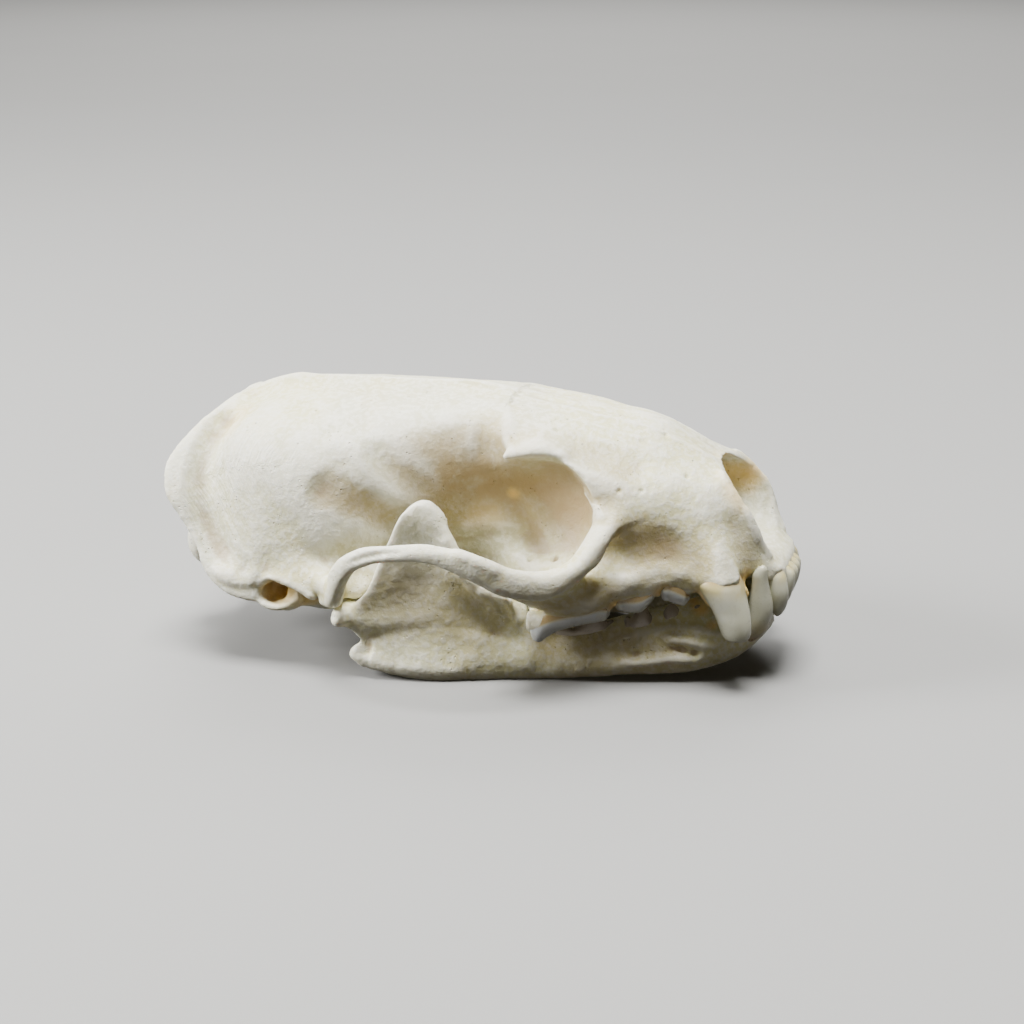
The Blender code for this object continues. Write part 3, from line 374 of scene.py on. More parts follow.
def solid(name, verts, faces):
    """A mesh object of points in millimetres, its faces turned outwards."""
    mesh = bpy.data.meshes.new(name)
    mesh.from_pydata(to_row(verts).tolist(), [], faces)
    bm = bmesh.new()
    bm.from_mesh(mesh)
    bmesh.ops.recalc_face_normals(bm, faces=bm.faces)
    bmesh.ops.triangulate(bm, faces=[f for f in bm.faces if len(f.verts) > 4])
    bm.to_mesh(mesh)
    bm.free()
    obj = bpy.data.objects.new(name, mesh)
    bpy.context.scene.collection.objects.link(obj)
    return obj


def loft(name, rings):
    """A closed body over rings (ring, point, axis): quads between neighbours, and a cap at each end."""
    count, sides = rings.shape[:2]
    r, s = np.meshgrid(np.arange(count - 1), np.arange(sides), indexing="ij")
    t = (s + 1) % sides
    quads = np.stack([r * sides + s, r * sides + t, (r + 1) * sides + t, (r + 1) * sides + s], axis=-1)
    caps = [list(range(sides)), list(range((count - 1) * sides, count * sides))]
    return solid(name, rings.reshape(-1, 3), quads.reshape(-1, 4).tolist() + caps)


def rod(name, keys, side=1, count=60, sides=24, power=1.0):
    """Ellipses carried along keys (x, y, z, half height, half thickness), squarer for a power below 1."""
    keys = spread(keys, count)
    path = keys[:, :3] * (1, side, 1)
    ahead = np.gradient(path, axis=0)
    ahead /= np.linalg.norm(ahead, axis=1)[:, None]
    across = np.cross(ahead, (0, 0, 1))
    across /= np.linalg.norm(across, axis=1)[:, None]
    rise = np.cross(across, ahead)
    up, out = circle(sides, power)
    rings = (path[:, None] + up[None, :, None] * (keys[:, 3, None] * rise)[:, None]
             + out[None, :, None] * (keys[:, 4, None] * across)[:, None])
    return loft(name, rings)


def ball(name, shape, side=1, turn=(0, 0, 0)):
    """An ellipsoid: circles of latitude from pole to pole, scaled by its radii and turned about X, Y, Z."""
    (x, y, z), radii = shape
    lat = np.linspace(-0.5 * np.pi + POLE_GAP, 0.5 * np.pi - POLE_GAP, LATITUDES)[:, None]
    cos, sin = circle(LONGITUDES)
    unit = np.stack([np.cos(lat) * cos, np.cos(lat) * sin, np.sin(lat) + 0 * cos], axis=-1)
    a, b, c = np.radians([side * turn[0], turn[1], side * turn[2]])
    spin = np.array(Matrix.Rotation(c, 3, "Z") @ Matrix.Rotation(b, 3, "Y") @ Matrix.Rotation(a, 3, "X"))
    return loft(name, (unit * radii) @ spin.T + (x, side * y, z))


def settle(obj):
    """Apply every modifier of obj through its evaluated mesh."""
    graph = bpy.context.evaluated_depsgraph_get()
    mesh = bpy.data.meshes.new_from_object(obj.evaluated_get(graph))
    obj.modifiers.clear()
    old = obj.data
    obj.data = mesh
    bpy.data.meshes.remove(old)


def combine(obj, others, operation):
    """Join others to obj, or cut obj by them, in one Boolean on their collection."""
    group = bpy.data.collections.new("operands")
    for other in others:
        group.objects.link(other)
    mod = obj.modifiers.new("boolean", "BOOLEAN")
    mod.operand_type = "COLLECTION"
    mod.collection = group
    mod.operation = operation
    mod.solver = "MANIFOLD"
    settle(obj)
    for other in others:
        bpy.data.objects.remove(other)
    bpy.data.collections.remove(group)


def skin(obj):
    """One even skin over obj: a voxel remesh, then a light smoothing."""
    remesh = obj.modifiers.new("remesh", "REMESH")
    remesh.mode = "VOXEL"
    remesh.voxel_size = FINE * MM
    smooth = obj.modifiers.new("smooth", "SMOOTH")
    smooth.factor = 0.5
    smooth.iterations = SKIN_ROUNDS
    settle(obj)


def thin_out(obj, triangles):
    """Collapse edges, flattest first, down to about this many triangles."""
    thin = obj.modifiers.new("thin", "DECIMATE")
    thin.ratio = min(1.0, triangles / (2.0 * len(obj.data.polygons)))
    settle(obj)


def keep_largest(obj):
    """Keep the largest closed surface of quads: linked points come to share the lowest of their numbers."""
    a, b, _ = links(obj)
    label = np.arange(len(obj.data.vertices))
    changed = True
    while changed:
        low = np.minimum(label[a], label[b])
        new = label.copy()
        np.minimum.at(new, label[a], low)
        np.minimum.at(new, label[b], low)
        new = new[new]
        changed = not np.array_equal(new, label)
        label = new
    kept = label == np.bincount(label).argmax()
    quads = np.empty(len(obj.data.polygons) * 4, np.int32)
    obj.data.polygons.foreach_get("vertices", quads)
    quads = quads.reshape(-1, 4)
    quads = (np.cumsum(kept) - 1)[quads[kept[quads[:, 0]]]]
    old = obj.data
    obj.data = bpy.data.meshes.new(old.name)
    obj.data.from_pydata((points_of_mesh(old)[kept]).tolist(), [], quads.tolist())
    bpy.data.meshes.remove(old)


def points_of_mesh(mesh):
    """The mesh's points as they are stored, in metres in the row frame."""
    flat = np.empty(len(mesh.vertices) * 3, np.float32)
    mesh.vertices.foreach_get("co", flat)
    return flat.reshape(-1, 3)


def points_of(obj):
    """The mesh's points in the skull's frame, in millimetres."""
    return points_of_mesh(obj.data).astype(float) / MM + (ROW_SHIFT, 0, 0)


def put_points(obj, points):
    """Write points in millimetres back into the mesh."""
    obj.data.vertices.foreach_set("co", to_row(points).astype(np.float32).ravel())
    obj.data.update()


def normals_of(obj):
    """The mesh's point normals."""
    flat = np.empty(len(obj.data.vertices) * 3, np.float32)
    obj.data.vertex_normals.foreach_get("vector", flat)
    return flat.reshape(-1, 3).astype(float)


def ease(obj, zones, rounds):
    """Smooth the mesh near zones (strength, reach, line): each point moves towards its neighbours' mean."""
    points = points_of(obj)
    place = fold(points)
    share = np.zeros(len(points))
    for strength, reach, line in zones:
        share = np.maximum(share, strength * nearness(place, line, reach))
    near = np.nonzero(share > 0.01)[0]
    new = np.full(len(points), -1)
    new[near] = np.arange(len(near))
    a, b, count = links(obj)
    a, b = np.concatenate([a, b]), np.concatenate([b, a])
    keep = new[a] >= 0
    a, b = new[a[keep]], b[keep]
    weight = (0.5 * share[near])[:, None]
    for _ in range(rounds):
        total = np.stack([np.bincount(a, column[b], len(near)) for column in points.T], axis=1)
        points[near] += weight * (total / count[near, None] - points[near])
    put_points(obj, points)


def links(obj):
    """The two ends of every edge, and the number of edges at each point."""
    ends = np.empty(len(obj.data.edges) * 2, np.int32)
    obj.data.edges.foreach_get("vertices", ends)
    count = np.bincount(ends, minlength=len(obj.data.vertices))
    a, b = ends.reshape(-1, 2).T
    return a, b, np.maximum(count, 1)


def nearness(points, line, reach):
    """Closeness to a line: (1 - (distance / reach)^2)^2, which is 1 on the line and 0 at reach from it."""
    line = np.asarray(line, float)
    if len(line) > 1:
        line = spread(line, max(8, int(3 * len(line))))
    else:
        line = np.repeat(line, 2, axis=0)
    near = np.nonzero(((points > line.min(0) - reach) & (points < line.max(0) + reach)).all(1))[0]
    start, step = line[:-1], np.diff(line, axis=0)
    offset = points[near][:, None] - start
    t = np.clip((offset * step).sum(-1) / np.maximum((step**2).sum(-1), 1e-9), 0, 1)
    gap = np.linalg.norm(offset - t[..., None] * step, axis=-1).min(1)
    share = np.zeros(len(points))
    share[near] = np.clip(1 - (gap / reach) ** 2, 0, 1) ** 2
    return share


def lattice_noise(points, size, seed):
    """Smooth noise from -1 to 1: seeded values on a cubic lattice, smoothstep between its corners."""
    table = np.random.default_rng(seed).uniform(-1, 1, (LATTICE,) * 3)
    cell = points / size
    base = np.floor(cell).astype(int)
    t = cell - base
    t = t * t * (3 - 2 * t)
    total = np.zeros(len(points))
    for corner in np.ndindex(2, 2, 2):
        share = np.prod(np.where(corner, t, 1 - t), axis=1)
        total += share * table[tuple(((base + corner) % LATTICE).T)]
    return total


def fold(points):
    """Both halves of the head on one: the distance from the middle in place of Y."""
    return points * (1, 0, 1) + np.abs(points) * (0, 1, 0)


def swayed(points, size, reach, seeds):
    """The folded points, each moved by up to reach along every axis by noise of this size."""
    return fold(points) + reach * np.column_stack([lattice_noise(points, size, seed) for seed in seeds])


def chisel(obj, strokes, pits, grit):
    """Move each point along its normal by the strokes near it, sink the pits, and add the grit's noise."""
    points, normals = points_of(obj), normals_of(obj)
    place = swayed(points, *STROKE_SWAY)
    rise = np.zeros(len(points))
    for height, reach, line in strokes:
        rise += height * nearness(place, line, reach)
    for depth, radius, spot in pits:
        rise -= depth * nearness(fold(points), [spot], radius)
    for height, size, seed in grit:
        rise += height * lattice_noise(points, size, seed)
    put_points(obj, points + normals * rise[:, None])


def skull_loft():
    """The braincase and the face: sections through the crown, shoulder, wall, base and keel lines."""
    x = np.linspace(CROWN_LINE[0][0], CROWN_LINE[-1][0], SKULL_SECTIONS)
    lines = [along(keys, x) for keys in (CROWN_LINE, SHOULDER_LINE, WALL_LINE, BASE_LINE, KEEL_LINE)]
    right = [np.column_stack([x, -line[:, 0], line[:, 1]]) for line in lines]
    left = [np.column_stack([x, line[:, 0], line[:, 1]]) for line in lines[3:0:-1]]
    return loft("cranium", closed_curve(np.stack(right + left, axis=1), SKULL_STEPS))


def nape_crest(side):
    """A wedge: lens-shaped sections that run from a foot inside the braincase to the thin free edge."""
    edge, foot = (spread(keys, CREST_SECTIONS) for keys in (NAPE_EDGE, NAPE_FOOT))
    for curve in (edge, foot):
        curve[:, 1] *= side
    reach = 0.5 * (edge - foot)
    run = np.gradient(0.5 * (edge + foot), axis=0)
    normal = np.cross(reach, run)
    normal /= np.linalg.norm(normal, axis=1)[:, None]
    cos, sin = circle(CREST_SIDES)
    half = 1.2 - 0.5 * cos
    rings = (0.5 * (edge + foot)[:, None] + cos[None, :, None] * reach[:, None]
             + (sin * half)[None, :, None] * normal[:, None])
    return loft("nape_crest", rings)


def plate(name, corners, half):
    """A flat body from -half to half across the skull, its outline run smoothly through corners (x, z)."""
    outline = closed_curve(np.asarray(corners, float)[None], PLATE_STEPS)[0]
    return loft(name, np.stack([np.column_stack([outline[:, 0], np.full(len(outline), y), outline[:, 1]])
                                for y in (-half, half)]))


def build_cranium():
    """The upper skull in one piece: loft, crests, arches, bullae, openings, one skin, then the chisel."""
    body = skull_loft()
    orbits = []
    added = [rod("top_ridge", TOP_RIDGE), ball("foramen_lip", FORAMEN_LIP)]
    cut = [
        rod("brain_way", BRAIN_WAY),
        ball("brain_room", BRAIN_ROOM),
        rod("nose_way", NOSE_WAY, sides=48),
        plate("nose_front", NOSE_FRONT, 12.0),
        rod("throat", THROAT),
        rod("palate", PALATE, sides=56, power=0.6)]
    for side in (-1, 1):
        orbits += [
            ball("orbit", ORBIT, side),
            rod("orbit_bed", ORBIT_BED, side, power=0.7)]
        added += [
            nape_crest(side),
            rod("arch", ARCH, side, 120, 28, 0.8),
            rod("cheek_root", CHEEK_ROOT, side),
            ball("nape_condyle", NAPE_CONDYLE, side, (14, 0, -24)),
            ball("mastoid", MASTOID, side),
            ball("nape_peg", NAPE_PEG, side, (0, 25, 0)),
            ball("bulla", BULLA, side, (0, 5, -12)),
            rod("ear_tube", EAR_TUBE, side),
            rod("ear_lip", EAR_LIP, side, 40, 14),
            rod("ear_roof", EAR_ROOF, side, 40, 16),
            rod("wall_foot", WALL_FOOT, side, 40, 20),
            rod("joint_front", JOINT_FRONT, side, 30, 16),
            rod("joint_shelf", JOINT_SHELF, side),
            rod("rear_root", REAR_ROOT, side),
            ball("pterygoid", PTERYGOID, side, (0, -6, 0)),
            rod("canine_root", CANINE_ROOT, side),
            ball("incisor_bed", INCISOR_BED, side, (0, 0, -28)),
            ball("tear_bump", TEAR_BUMP, side),
            rod("brow_point", BROW_POINT, side),
            rod("gum_ridge", GUM_RIDGE, side, 90),
            rod("canine_collar", CANINE_COLLAR, side, 40, 16)]
        added += [rod("gum_scrap", keys, side, 16, 16) for keys in GUM_SCRAPS]
        cut += [
            rod("ear_way", EAR_WAY, side),
            rod("cheek_way", CHEEK_WAY, side),
            rod("palate_slit", PALATE_SLIT, side, 20, 16),
            ball("joint_cup", JOINT_CUP, side),
            rod("socket_room", SOCKET_ROOM, side, 30, 24)]
    combine(body, orbits, "DIFFERENCE")
    combine(body, added, "UNION")
    combine(body, cut, "DIFFERENCE")
    skin(body)
    keep_largest(body)
    ease(body, SKULL_EASE, SKULL_EASE_ROUNDS)
    chisel(body, SKULL_STROKES + ARCH_STROKES, SKULL_PITS, SKULL_GRIT)
    thin_out(body, CRANIUM_FACES)
    body.name = "cranium_bone"
    return body


JAW_STROKES = [
    (-0.3, 3.2, [(33.6, 17.0, 17.0), (33.6, 16.6, 13.6), (33.0, 16.4, 10.6)]),
    (0.2, 1.2, [(36.6, 16.4, 17.0), (37.6, 16.0, 13.8), (39.4, 15.2, 11.0), (41.4, 14.4, 8.8)]),
    (0.22, 1.8, [(26.2, 17.0, 6.3), (29.6, 16.8, 6.9), (32.9, 16.2, 7.3), (36.1, 15.4, 6.6),
        (39.3, 14.2, 5.4)]),
    (-0.25, 2.6, [(28.4, 17.0, 4.3), (32.0, 16.6, 4.2), (36.5, 15.6, 3.6)]),
    (0.25, 1.4, [(25.6, 17.0, 3.0), (28.0, 17.0, 2.2), (32.0, 16.6, 1.4), (37.0, 15.2, 0.9)]),
    (-0.3, 1.8, [(55.2, 11.0, 3.7), (57.6, 10.4, 3.8), (59.4, 9.9, 4.3)]),
    (0.16, 0.9, [(55.4, 10.9, 2.6), (58.1, 10.3, 2.8), (60.0, 9.9, 3.1), (61.6, 9.4, 3.0)]),
    (-0.35, 1.2, [(60.6, 9.6, 4.3), (62.6, 9.1, 3.9)]),
    (0.14, 1.0, [(60.2, 9.6, 5.2), (61.8, 9.3, 5.2), (63.4, 8.8, 4.9), (65.4, 8.2, 4.9)]),
    (0.45, 1.0, [(40.0, 14.2, 11.0), (41.4, 14.0, 10.4), (42.4, 13.7, 9.6)]),
    (-0.3, 0.4, [(42.3, 13.9, 9.6), (43.0, 13.6, 8.4), (43.2, 13.3, 7.0)]),
    (0.25, 0.7, [(43.1, 13.8, 9.4), (43.8, 13.4, 8.2), (44.0, 13.1, 7.0)]),
    (0.2, 1.0, [(57.0, 9.8, 6.2), (60.0, 9.2, 6.8), (63.0, 8.6, 6.8), (65.6, 8.2, 6.0)]),
]
JAW_PITS = [
    (0.25, 0.9, (56.6, 10.6, 3.4)), (0.28, 0.9, (61.4, 9.2, 4.2)), (0.3, 0.35, (59.0, 10.0, 5.3)),
    (0.2, 0.6, (62.9, 9.0, 3.6)), (0.4, 0.3, (33.2, 16.7, 20.9)), (0.6, 0.55, (41.0, 14.1, 10.8)),
]
JAW_EASE = [
    (1.0, 3.4, [(34.0, 16.4, 19.0), (34.6, 16.2, 16.0), (36.0, 15.6, 13.0), (38.4, 14.8, 10.6)]),
    (1.0, 3.0, [(41.0, 13.8, 9.0), (43.6, 12.6, 7.0), (45.4, 11.8, 5.6)]),
    (1.0, 2.6, [(26.4, 16.6, 7.4), (29.0, 16.4, 8.0), (32.0, 16.0, 8.2)]),
    (1.0, 3.0, [(59.0, 7.6, 3.0), (63.0, 6.4, 4.0), (66.0, 5.0, 6.0)]),
    (1.0, 3.4, [(57.0, 6.6, 4.4), (60.0, 4.6, 4.6), (62.4, 2.4, 5.0)]),
    (0.25, 1.4, [(24.8, 16.4, 2.0), (25.0, 16.4, 2.8)]),
]


def build_jaw(side):
    """Half of the lower jaw: leaning ellipses along its body, then ramus, joint head, hook and chin."""
    x = np.linspace(JAW[0][0], JAW[-1][0], JAW_SECTIONS)
    keys = along(JAW, x)
    cos, sin = circle(JAW_SIDES)
    centre = np.column_stack([x, keys[:, 0], 0.5 * (keys[:, 1] + keys[:, 2])])
    half = 0.5 * (keys[:, 2] - keys[:, 1])
    rise = half[:, None] * cos
    out = keys[:, 3][:, None] * sin - JAW_LEAN * rise
    rings = centre[:, None] + np.stack([np.zeros_like(rise), out, rise], axis=2)
    rings[:, :, 1] *= side
    body = loft("mandible", rings)

    outline = closed_curve(np.asarray(RAMUS)[None], RAMUS_STEPS)[0]
    middle = [RAMUS_REAR] + [key[:2] for key in JAW[1:5]]
    lean = along(middle, outline[:, 0])[:, 0] + RAMUS_LEAN * (outline[:, 1] - RAMUS_FOOT)
    faces = [np.column_stack([outline[:, 0], side * (lean + half), outline[:, 1]])
             for half in (-RAMUS_HALF, RAMUS_HALF)]
    added = [
        loft("ramus", np.stack(faces)),
        ball("joint_head", JOINT_HEAD, side),
        rod("joint_neck", JOINT_NECK, side),
        rod("angle_hook", ANGLE_HOOK, side),
        rod("coronoid_edge", CORONOID_EDGE, side),
        rod("chin", CHIN, side)]
    combine(body, added, "UNION")
    low, high = sorted((-side * OTHER_HALF_WIDTH, side * SYMPHYSIS_GAP))
    rear, front = OTHER_HALF_X
    slab = [[(rear, low, z), (front, low, z), (front, high, z), (rear, high, z)] for z in OTHER_HALF_Z]
    cut = [ball("cheek_hollow", CHEEK_HOLLOW, side, (0, 25, 0)), loft("other_half", np.array(slab, float))]
    combine(body, cut, "DIFFERENCE")
    skin(body)
    keep_largest(body)
    ease(body, JAW_EASE, JAW_EASE_ROUNDS)
    chisel(body, JAW_STROKES, JAW_PITS, JAW_GRIT)
    points = points_of(body)
    points[:, 2] = np.maximum(points[:, 2], 0.0)
    put_points(body, points)
    thin_out(body, JAW_FACES)
    return body


def curvature(obj, points, rounds):
    """Hollowness: how far each point lies below its neighbours' mean along its normal, then averaged."""
    a, b, count = links(obj)

    def mean(values):
        """The mean over each point's neighbours of some columns."""
        return np.stack([(np.bincount(a, column[b], len(points)) + np.bincount(b, column[a], len(points)))
                         / count for column in values.T], axis=1)

    normals = normals_of(obj)
    smooth = points
    for _ in range(rounds):
        smooth = mean(smooth)
    hollow = ((smooth - points) * normals).sum(1)[:, None]
    for _ in range(2):
        hollow = mean(hollow)
    return hollow[:, 0]


def paint(obj, name, values):
    """Store values (point, 4) as a colour attribute of the mesh."""
    layer = obj.data.color_attributes.new(name, "FLOAT_COLOR", "POINT")
    layer.data.foreach_set("color", np.ascontiguousarray(values, np.float32).ravel())


# Where the bone is tinted: (strength, reach, places). The tints are partly the bone's own stains and partly
# painted shade, as said above each table.
# Tan: mostly painted shade in hollows and dents of orbit, temple, braincase wall, face and cheek plate,
# with some of the bone's own tan.
TAN_AND_SHADE_ZONES = [
    (1.0, 7.0, [(35.5, 10.0, 21.5), (41.0, 8.0, 21.5), (46.0, 7.5, 20.5), (50.0, 9.0, 19.5)]),
    (0.7, 5.0, [(31.8, 11.8, 24.2), (35.0, 10.5, 25.4), (39.5, 9.5, 25.6)]),
    (0.45, 3.4, [(30.6, 12.6, 20.4), (31.8, 11.8, 22.6)]),
    (0.75, 3.4, [(22.6, 15.3, 21.4), (24.8, 14.8, 20.2), (27.6, 13.5, 18.6)]),
    (0.3, 2.2, [(28.3, 13.5, 23.9), (29.8, 13.0, 22.5)]),
    (0.4, 3.2, [(49.6, 9.8, 26.7), (51.7, 9.5, 26.2), (54.0, 9.6, 24.8)]),
    (0.9, 3.6, [(54.6, 13.2, 17.4), (56.5, 12.4, 16.8), (58.5, 11.9, 16.6)]),
    (0.5, 4.0, [(57.0, 12.4, 15.2), (60.4, 11.4, 15.4), (63.0, 10.6, 14.6)]),
    (0.4, 2.4, [(67.4, 7.8, 17.2), (68.0, 7.8, 15.4)]),
    (0.6, 3.0, [(44.6, 15.4, 11.4), (47.5, 15.2, 10.4), (51.0, 14.2, 10.8), (54.0, 12.9, 11.4)]),
    (0.35, 3.0, [(44.5, 10.2, 27.6), (43.0, 10.6, 27.0)]),
]
AMBER_STAIN_AND_SHADE_ZONES = [
    # The next seven: painted shade in the ear canal, deep in the orbit, in two foramina, in the nose and
    # under bulla and joint; in the nose also a painted glow of light through thin bone.
    (0.9, 3.2, [(16.9, 12.0, 8.8), (16.4, 15.0, 9.1)]),
    (0.25, 2.2, [(37.2, 8.7, 17.8), (39.0, 8.2, 17.4)]),
    (0.8, 0.8, [(57.6, 11.6, 19.8)]), (0.7, 0.9, [(41.5, 8.0, 20.5)]),
    (0.8, 3.0, [(62.5, 4.4, 20.5), (64.5, 4.6, 21.0), (65.6, 4.8, 20.8)]),
    (0.6, 3.0, [(60.0, 0.0, 22.5), (63.5, 0.0, 22.8)]),
    (0.5, 1.6, [(21.2, 15.2, 7.8), (23.0, 14.8, 8.4)]),
    (0.6, 2.0, [(16.8, 15.0, 6.6), (19.6, 14.6, 7.4), (21.6, 14.6, 8.0)]),
    (0.8, 1.2, [(54.2, 12.2, 10.4)]), (0.9, 1.5, [(58.9, 10.9, 11.6)]),
    (0.95, 2.0, [(63.6, 9.8, 12.0), (64.6, 9.6, 10.2)]), (0.9, 1.8, [(67.9, 7.5, 13.2), (68.1, 7.4, 11.0)]),
    # Painted shade: amber-brown under the wall's edge behind the ear opening.
    (0.5, 2.0, [(18.8, 15.6, 7.4), (20.6, 15.2, 8.2)]),
    (0.7, 1.2, [(68.6, 7.2, 13.2)]),
    (0.25, 2.6, [(7.0, 9.6, 26.3), (8.0, 7.4, 27.4)]),
]
# Painted shade: tan darkening of the jaw under the upper cheek teeth and of the ramus in the arch's shadow.
JAW_SHADE_ZONES = [
    (0.35, 4.0, [(50.0, 11.0, 4.0), (60.0, 9.5, 4.0)]),
    (0.55, 3.6, [(46.5, 12.4, 5.2), (50.0, 11.6, 5.0), (54.5, 10.8, 4.8)]),
    (0.4, 6.0, [(30.7, 16.0, 9.8), (34.0, 15.5, 9.2), (38.0, 14.2, 8.0)]),
]
JAW_AMBER = [
    (0.7, 1.5, [(66.5, 6.0, 9.0)]), (0.8, 1.3, [(63.0, 7.2, 8.7), (61.9, 6.2, 9.1)]),
    (0.5, 1.0, [(64.6, 8.2, 6.8)]),
]
FIBRE_ZONES = [
    (0.9, 6.0, [(10.0, 9.0, 27.5), (9.0, 13.0, 23.5), (9.5, 14.8, 19.0)]),
    (0.5, 6.0, [(15.0, 9.0, 28.5), (14.0, 14.5, 23.0)]),
    (0.25, 2.6, [(26.0, 20.3, 14.0), (31.0, 22.5, 17.3), (36.0, 22.5, 17.3)]),
    (0.55, 4.5, [(42.0, 3.0, 30.3), (50.0, 3.0, 29.2), (58.0, 3.0, 27.0), (63.0, 3.0, 25.0)]),
]


def mask(points, zones):
    """The strongest of the zones at each point."""
    total = np.zeros(len(points))
    for strength, reach, line in zones:
        total = np.maximum(total, strength * nearness(points, line, reach) ** 0.6)
    return total


# Fibres: millimetres from one place on the nape's edge to the next, the (x, distance from the middle) past
# which the arch lies, and the x past which the snout lies.
CREST_STEP = 0.55
ARCH_BEYOND = (24.5, 17.2)
SNOUT_FROM = 40


def fibre_grid(points):
    """Fibre directions as (distance across them, distance along them, 0), for crest, arch and snout."""
    line = spread(NAPE_EDGE, 60)
    gap = np.linalg.norm(points[:, None] - line, axis=-1)
    across, run = gap.min(1), gap.argmin(1) * CREST_STEP
    arch = (points[:, :2] > ARCH_BEYOND).all(1)
    snout = points[:, 0] > SNOUT_FROM
    across = np.where(arch, points[:, 2] + 0.5 * points[:, 1], across)
    across = np.where(snout & ~arch, points[:, 1], across)
    run = np.where(arch | snout, points[:, 0], run)
    return np.column_stack([across, run, np.zeros(len(points))])


# Hollows: rounds of averaging that find them, and how strongly they show as painted shade, with ridges as
# painted highlight.
HOLLOW_ROUNDS = 10
HOLLOW_SHADE_GAIN = 7.0


def tint(obj, tan, amber, fibre):
    """Paint tan, amber, hollow and fibre masks, and the fibre directions, on a bone. Tan and amber carry
    stains and painted shade; the hollow mask gives painted shade in hollows and painted highlight on
    ridges.
    """
    points = points_of(obj)
    place = swayed(points, *TINT_SWAY)
    # The hollow mask: painted shade in hollows, painted highlight on ridges.
    hollow = np.clip(curvature(obj, points, HOLLOW_ROUNDS) * HOLLOW_SHADE_GAIN, -1, 1) * 0.5 + 0.5
    paint(obj, "Tone", np.column_stack([mask(place, tan), mask(place, amber), hollow, mask(place, fibre)]))
    layer = obj.data.attributes.new("Fibre", "FLOAT_VECTOR", "POINT")
    layer.data.foreach_set("vector", (fibre_grid(fold(points)) * MM).astype(np.float32).ravel())


# Sections and sides of a standing tooth and of a blade, and rings and sides of a molar.
TOOTH_SECTIONS, TOOTH_SIDES = 44, 40
BLADE_SECTIONS, BLADE_SIDES = 64, 36
WALL_RINGS, CROWN_RINGS, MOLAR_SIDES = 8, 30, 64
# How deep a blade's root is sunk.
BLADE_ROOT = 1.3
# Height over which a cheek tooth's crown share runs from gum to tip, and how far the lower ones are
# darkened by stain and painted shade.
CHEEK_CROWN = 2.2
LOWER_STAIN_AND_SHADE = 0.7


def tooth(keys, side, gum, heading):
    """A standing tooth: level ellipses along keys (x, y, z, half length, half width) from the sunk root to
    the tip, turned by heading degrees. Its crown share runs from the gum."""
    keys = spread(keys, TOOTH_SECTIONS)
    tip = keys[-1, 2]
    a = -np.radians(heading)
    row, cross = np.array([np.cos(a), np.sin(a), 0.0]), np.array([-np.sin(a), np.cos(a), 0.0])
    cos, sin = circle(TOOTH_SIDES)
    rings = (keys[:, None, :3] + (keys[:, 3, None] * cos)[..., None] * row
             + (keys[:, 4, None] * sin)[..., None] * cross)
    rings[:, :, 1] *= side
    obj = loft("tooth", rings)
    crown_share(obj, np.repeat((gum - keys[:, 2]) / (gum - tip), TOOTH_SIDES))
    return obj


def blade(keys, side):
    """A cheek tooth seen as a blade: upright sections along keys (x, y, gum z, edge z, half thickness),
    round at the sunk root and thinner at the edge."""
    keys = spread(keys, BLADE_SECTIONS)
    down = np.sign(keys[0, 3] - keys[0, 2])
    root = keys[:, 2] - down * BLADE_ROOT
    cos, sin = circle(BLADE_SIDES, 0.8)
    fall = 0.5 - 0.5 * cos
    z = root[:, None] + (keys[:, 3] - root)[:, None] * fall
    out = keys[:, 4, None] * sin * (1.08 - 0.5 * fall**3)
    ahead = np.gradient(keys[:, :2], axis=0)
    ahead /= np.linalg.norm(ahead, axis=1)[:, None]
    rings = np.stack([keys[:, 0, None] - out * ahead[:, 1, None],
                      keys[:, 1, None] + out * ahead[:, 0, None], z], axis=-1)
    rings[:, :, 1] *= side
    obj = loft("blade", rings)
    crown_share(obj, ((z - keys[:, 2, None]) * down).ravel() / CHEEK_CROWN, 1.0, LOWER_STAIN_AND_SHADE * (down > 0))
    return obj


def molar(spec, side, cusps, root):
    """A broad tooth: superellipse walls up to a belt, then a crown as high as the tallest cusp there, each
    a rounded cone (place along the row, place across, height, spread), over a low rim."""
    x, y, gum, long_half, wide_half, heading, belt, down = spec
    cos, sin = circle(MOLAR_SIDES, 0.85)
    wall = np.linspace(0, 1, WALL_RINGS)
    inward = np.concatenate([1 - 0.16 * (1 - wall) ** 1.5, np.linspace(1, 0.03, CROWN_RINGS)[1:]])
    u, v = inward[:, None] * cos, inward[:, None] * sin
    top = np.full(u.shape, 0.12)
    for along_row, over, high, wide in cusps:
        far = ((u - along_row) * long_half) ** 2 + ((v - over) * wide_half) ** 2
        top = np.maximum(top, high * (1 - np.sqrt(far + 0.04) / wide))
    edge = np.clip((1 - inward) / 0.25, 0, 1)[:, None] ** 0.6
    rise = np.concatenate([-root + (root + belt) * wall, np.full(CROWN_RINGS - 1, belt)])[:, None]
    rise = rise + top * edge
    a = -np.radians(heading)
    px = x + u * long_half * np.cos(a) - v * wide_half * np.sin(a)
    py = y + u * long_half * np.sin(a) + v * wide_half * np.cos(a)
    obj = loft("molar", np.stack([px, side * py, gum + down * rise], axis=-1))
    crown_share(obj, rise.ravel() / CHEEK_CROWN, 1.0, LOWER_STAIN_AND_SHADE * (down > 0))
    return obj


def crown_share(obj, share, cheek=0.0, stain_and_shade=0.0):
    """Store how far each point is from gum (0) to tip (1), how blue the tooth is, and how far it is
    darkened by stain and painted shade.
    """
    share = np.clip(share, -0.5, 1)
    flag = np.full_like(share, cheek)
    paint(obj, "Crown", np.column_stack([share, flag, np.full_like(share, stain_and_shade), np.ones_like(share)]))


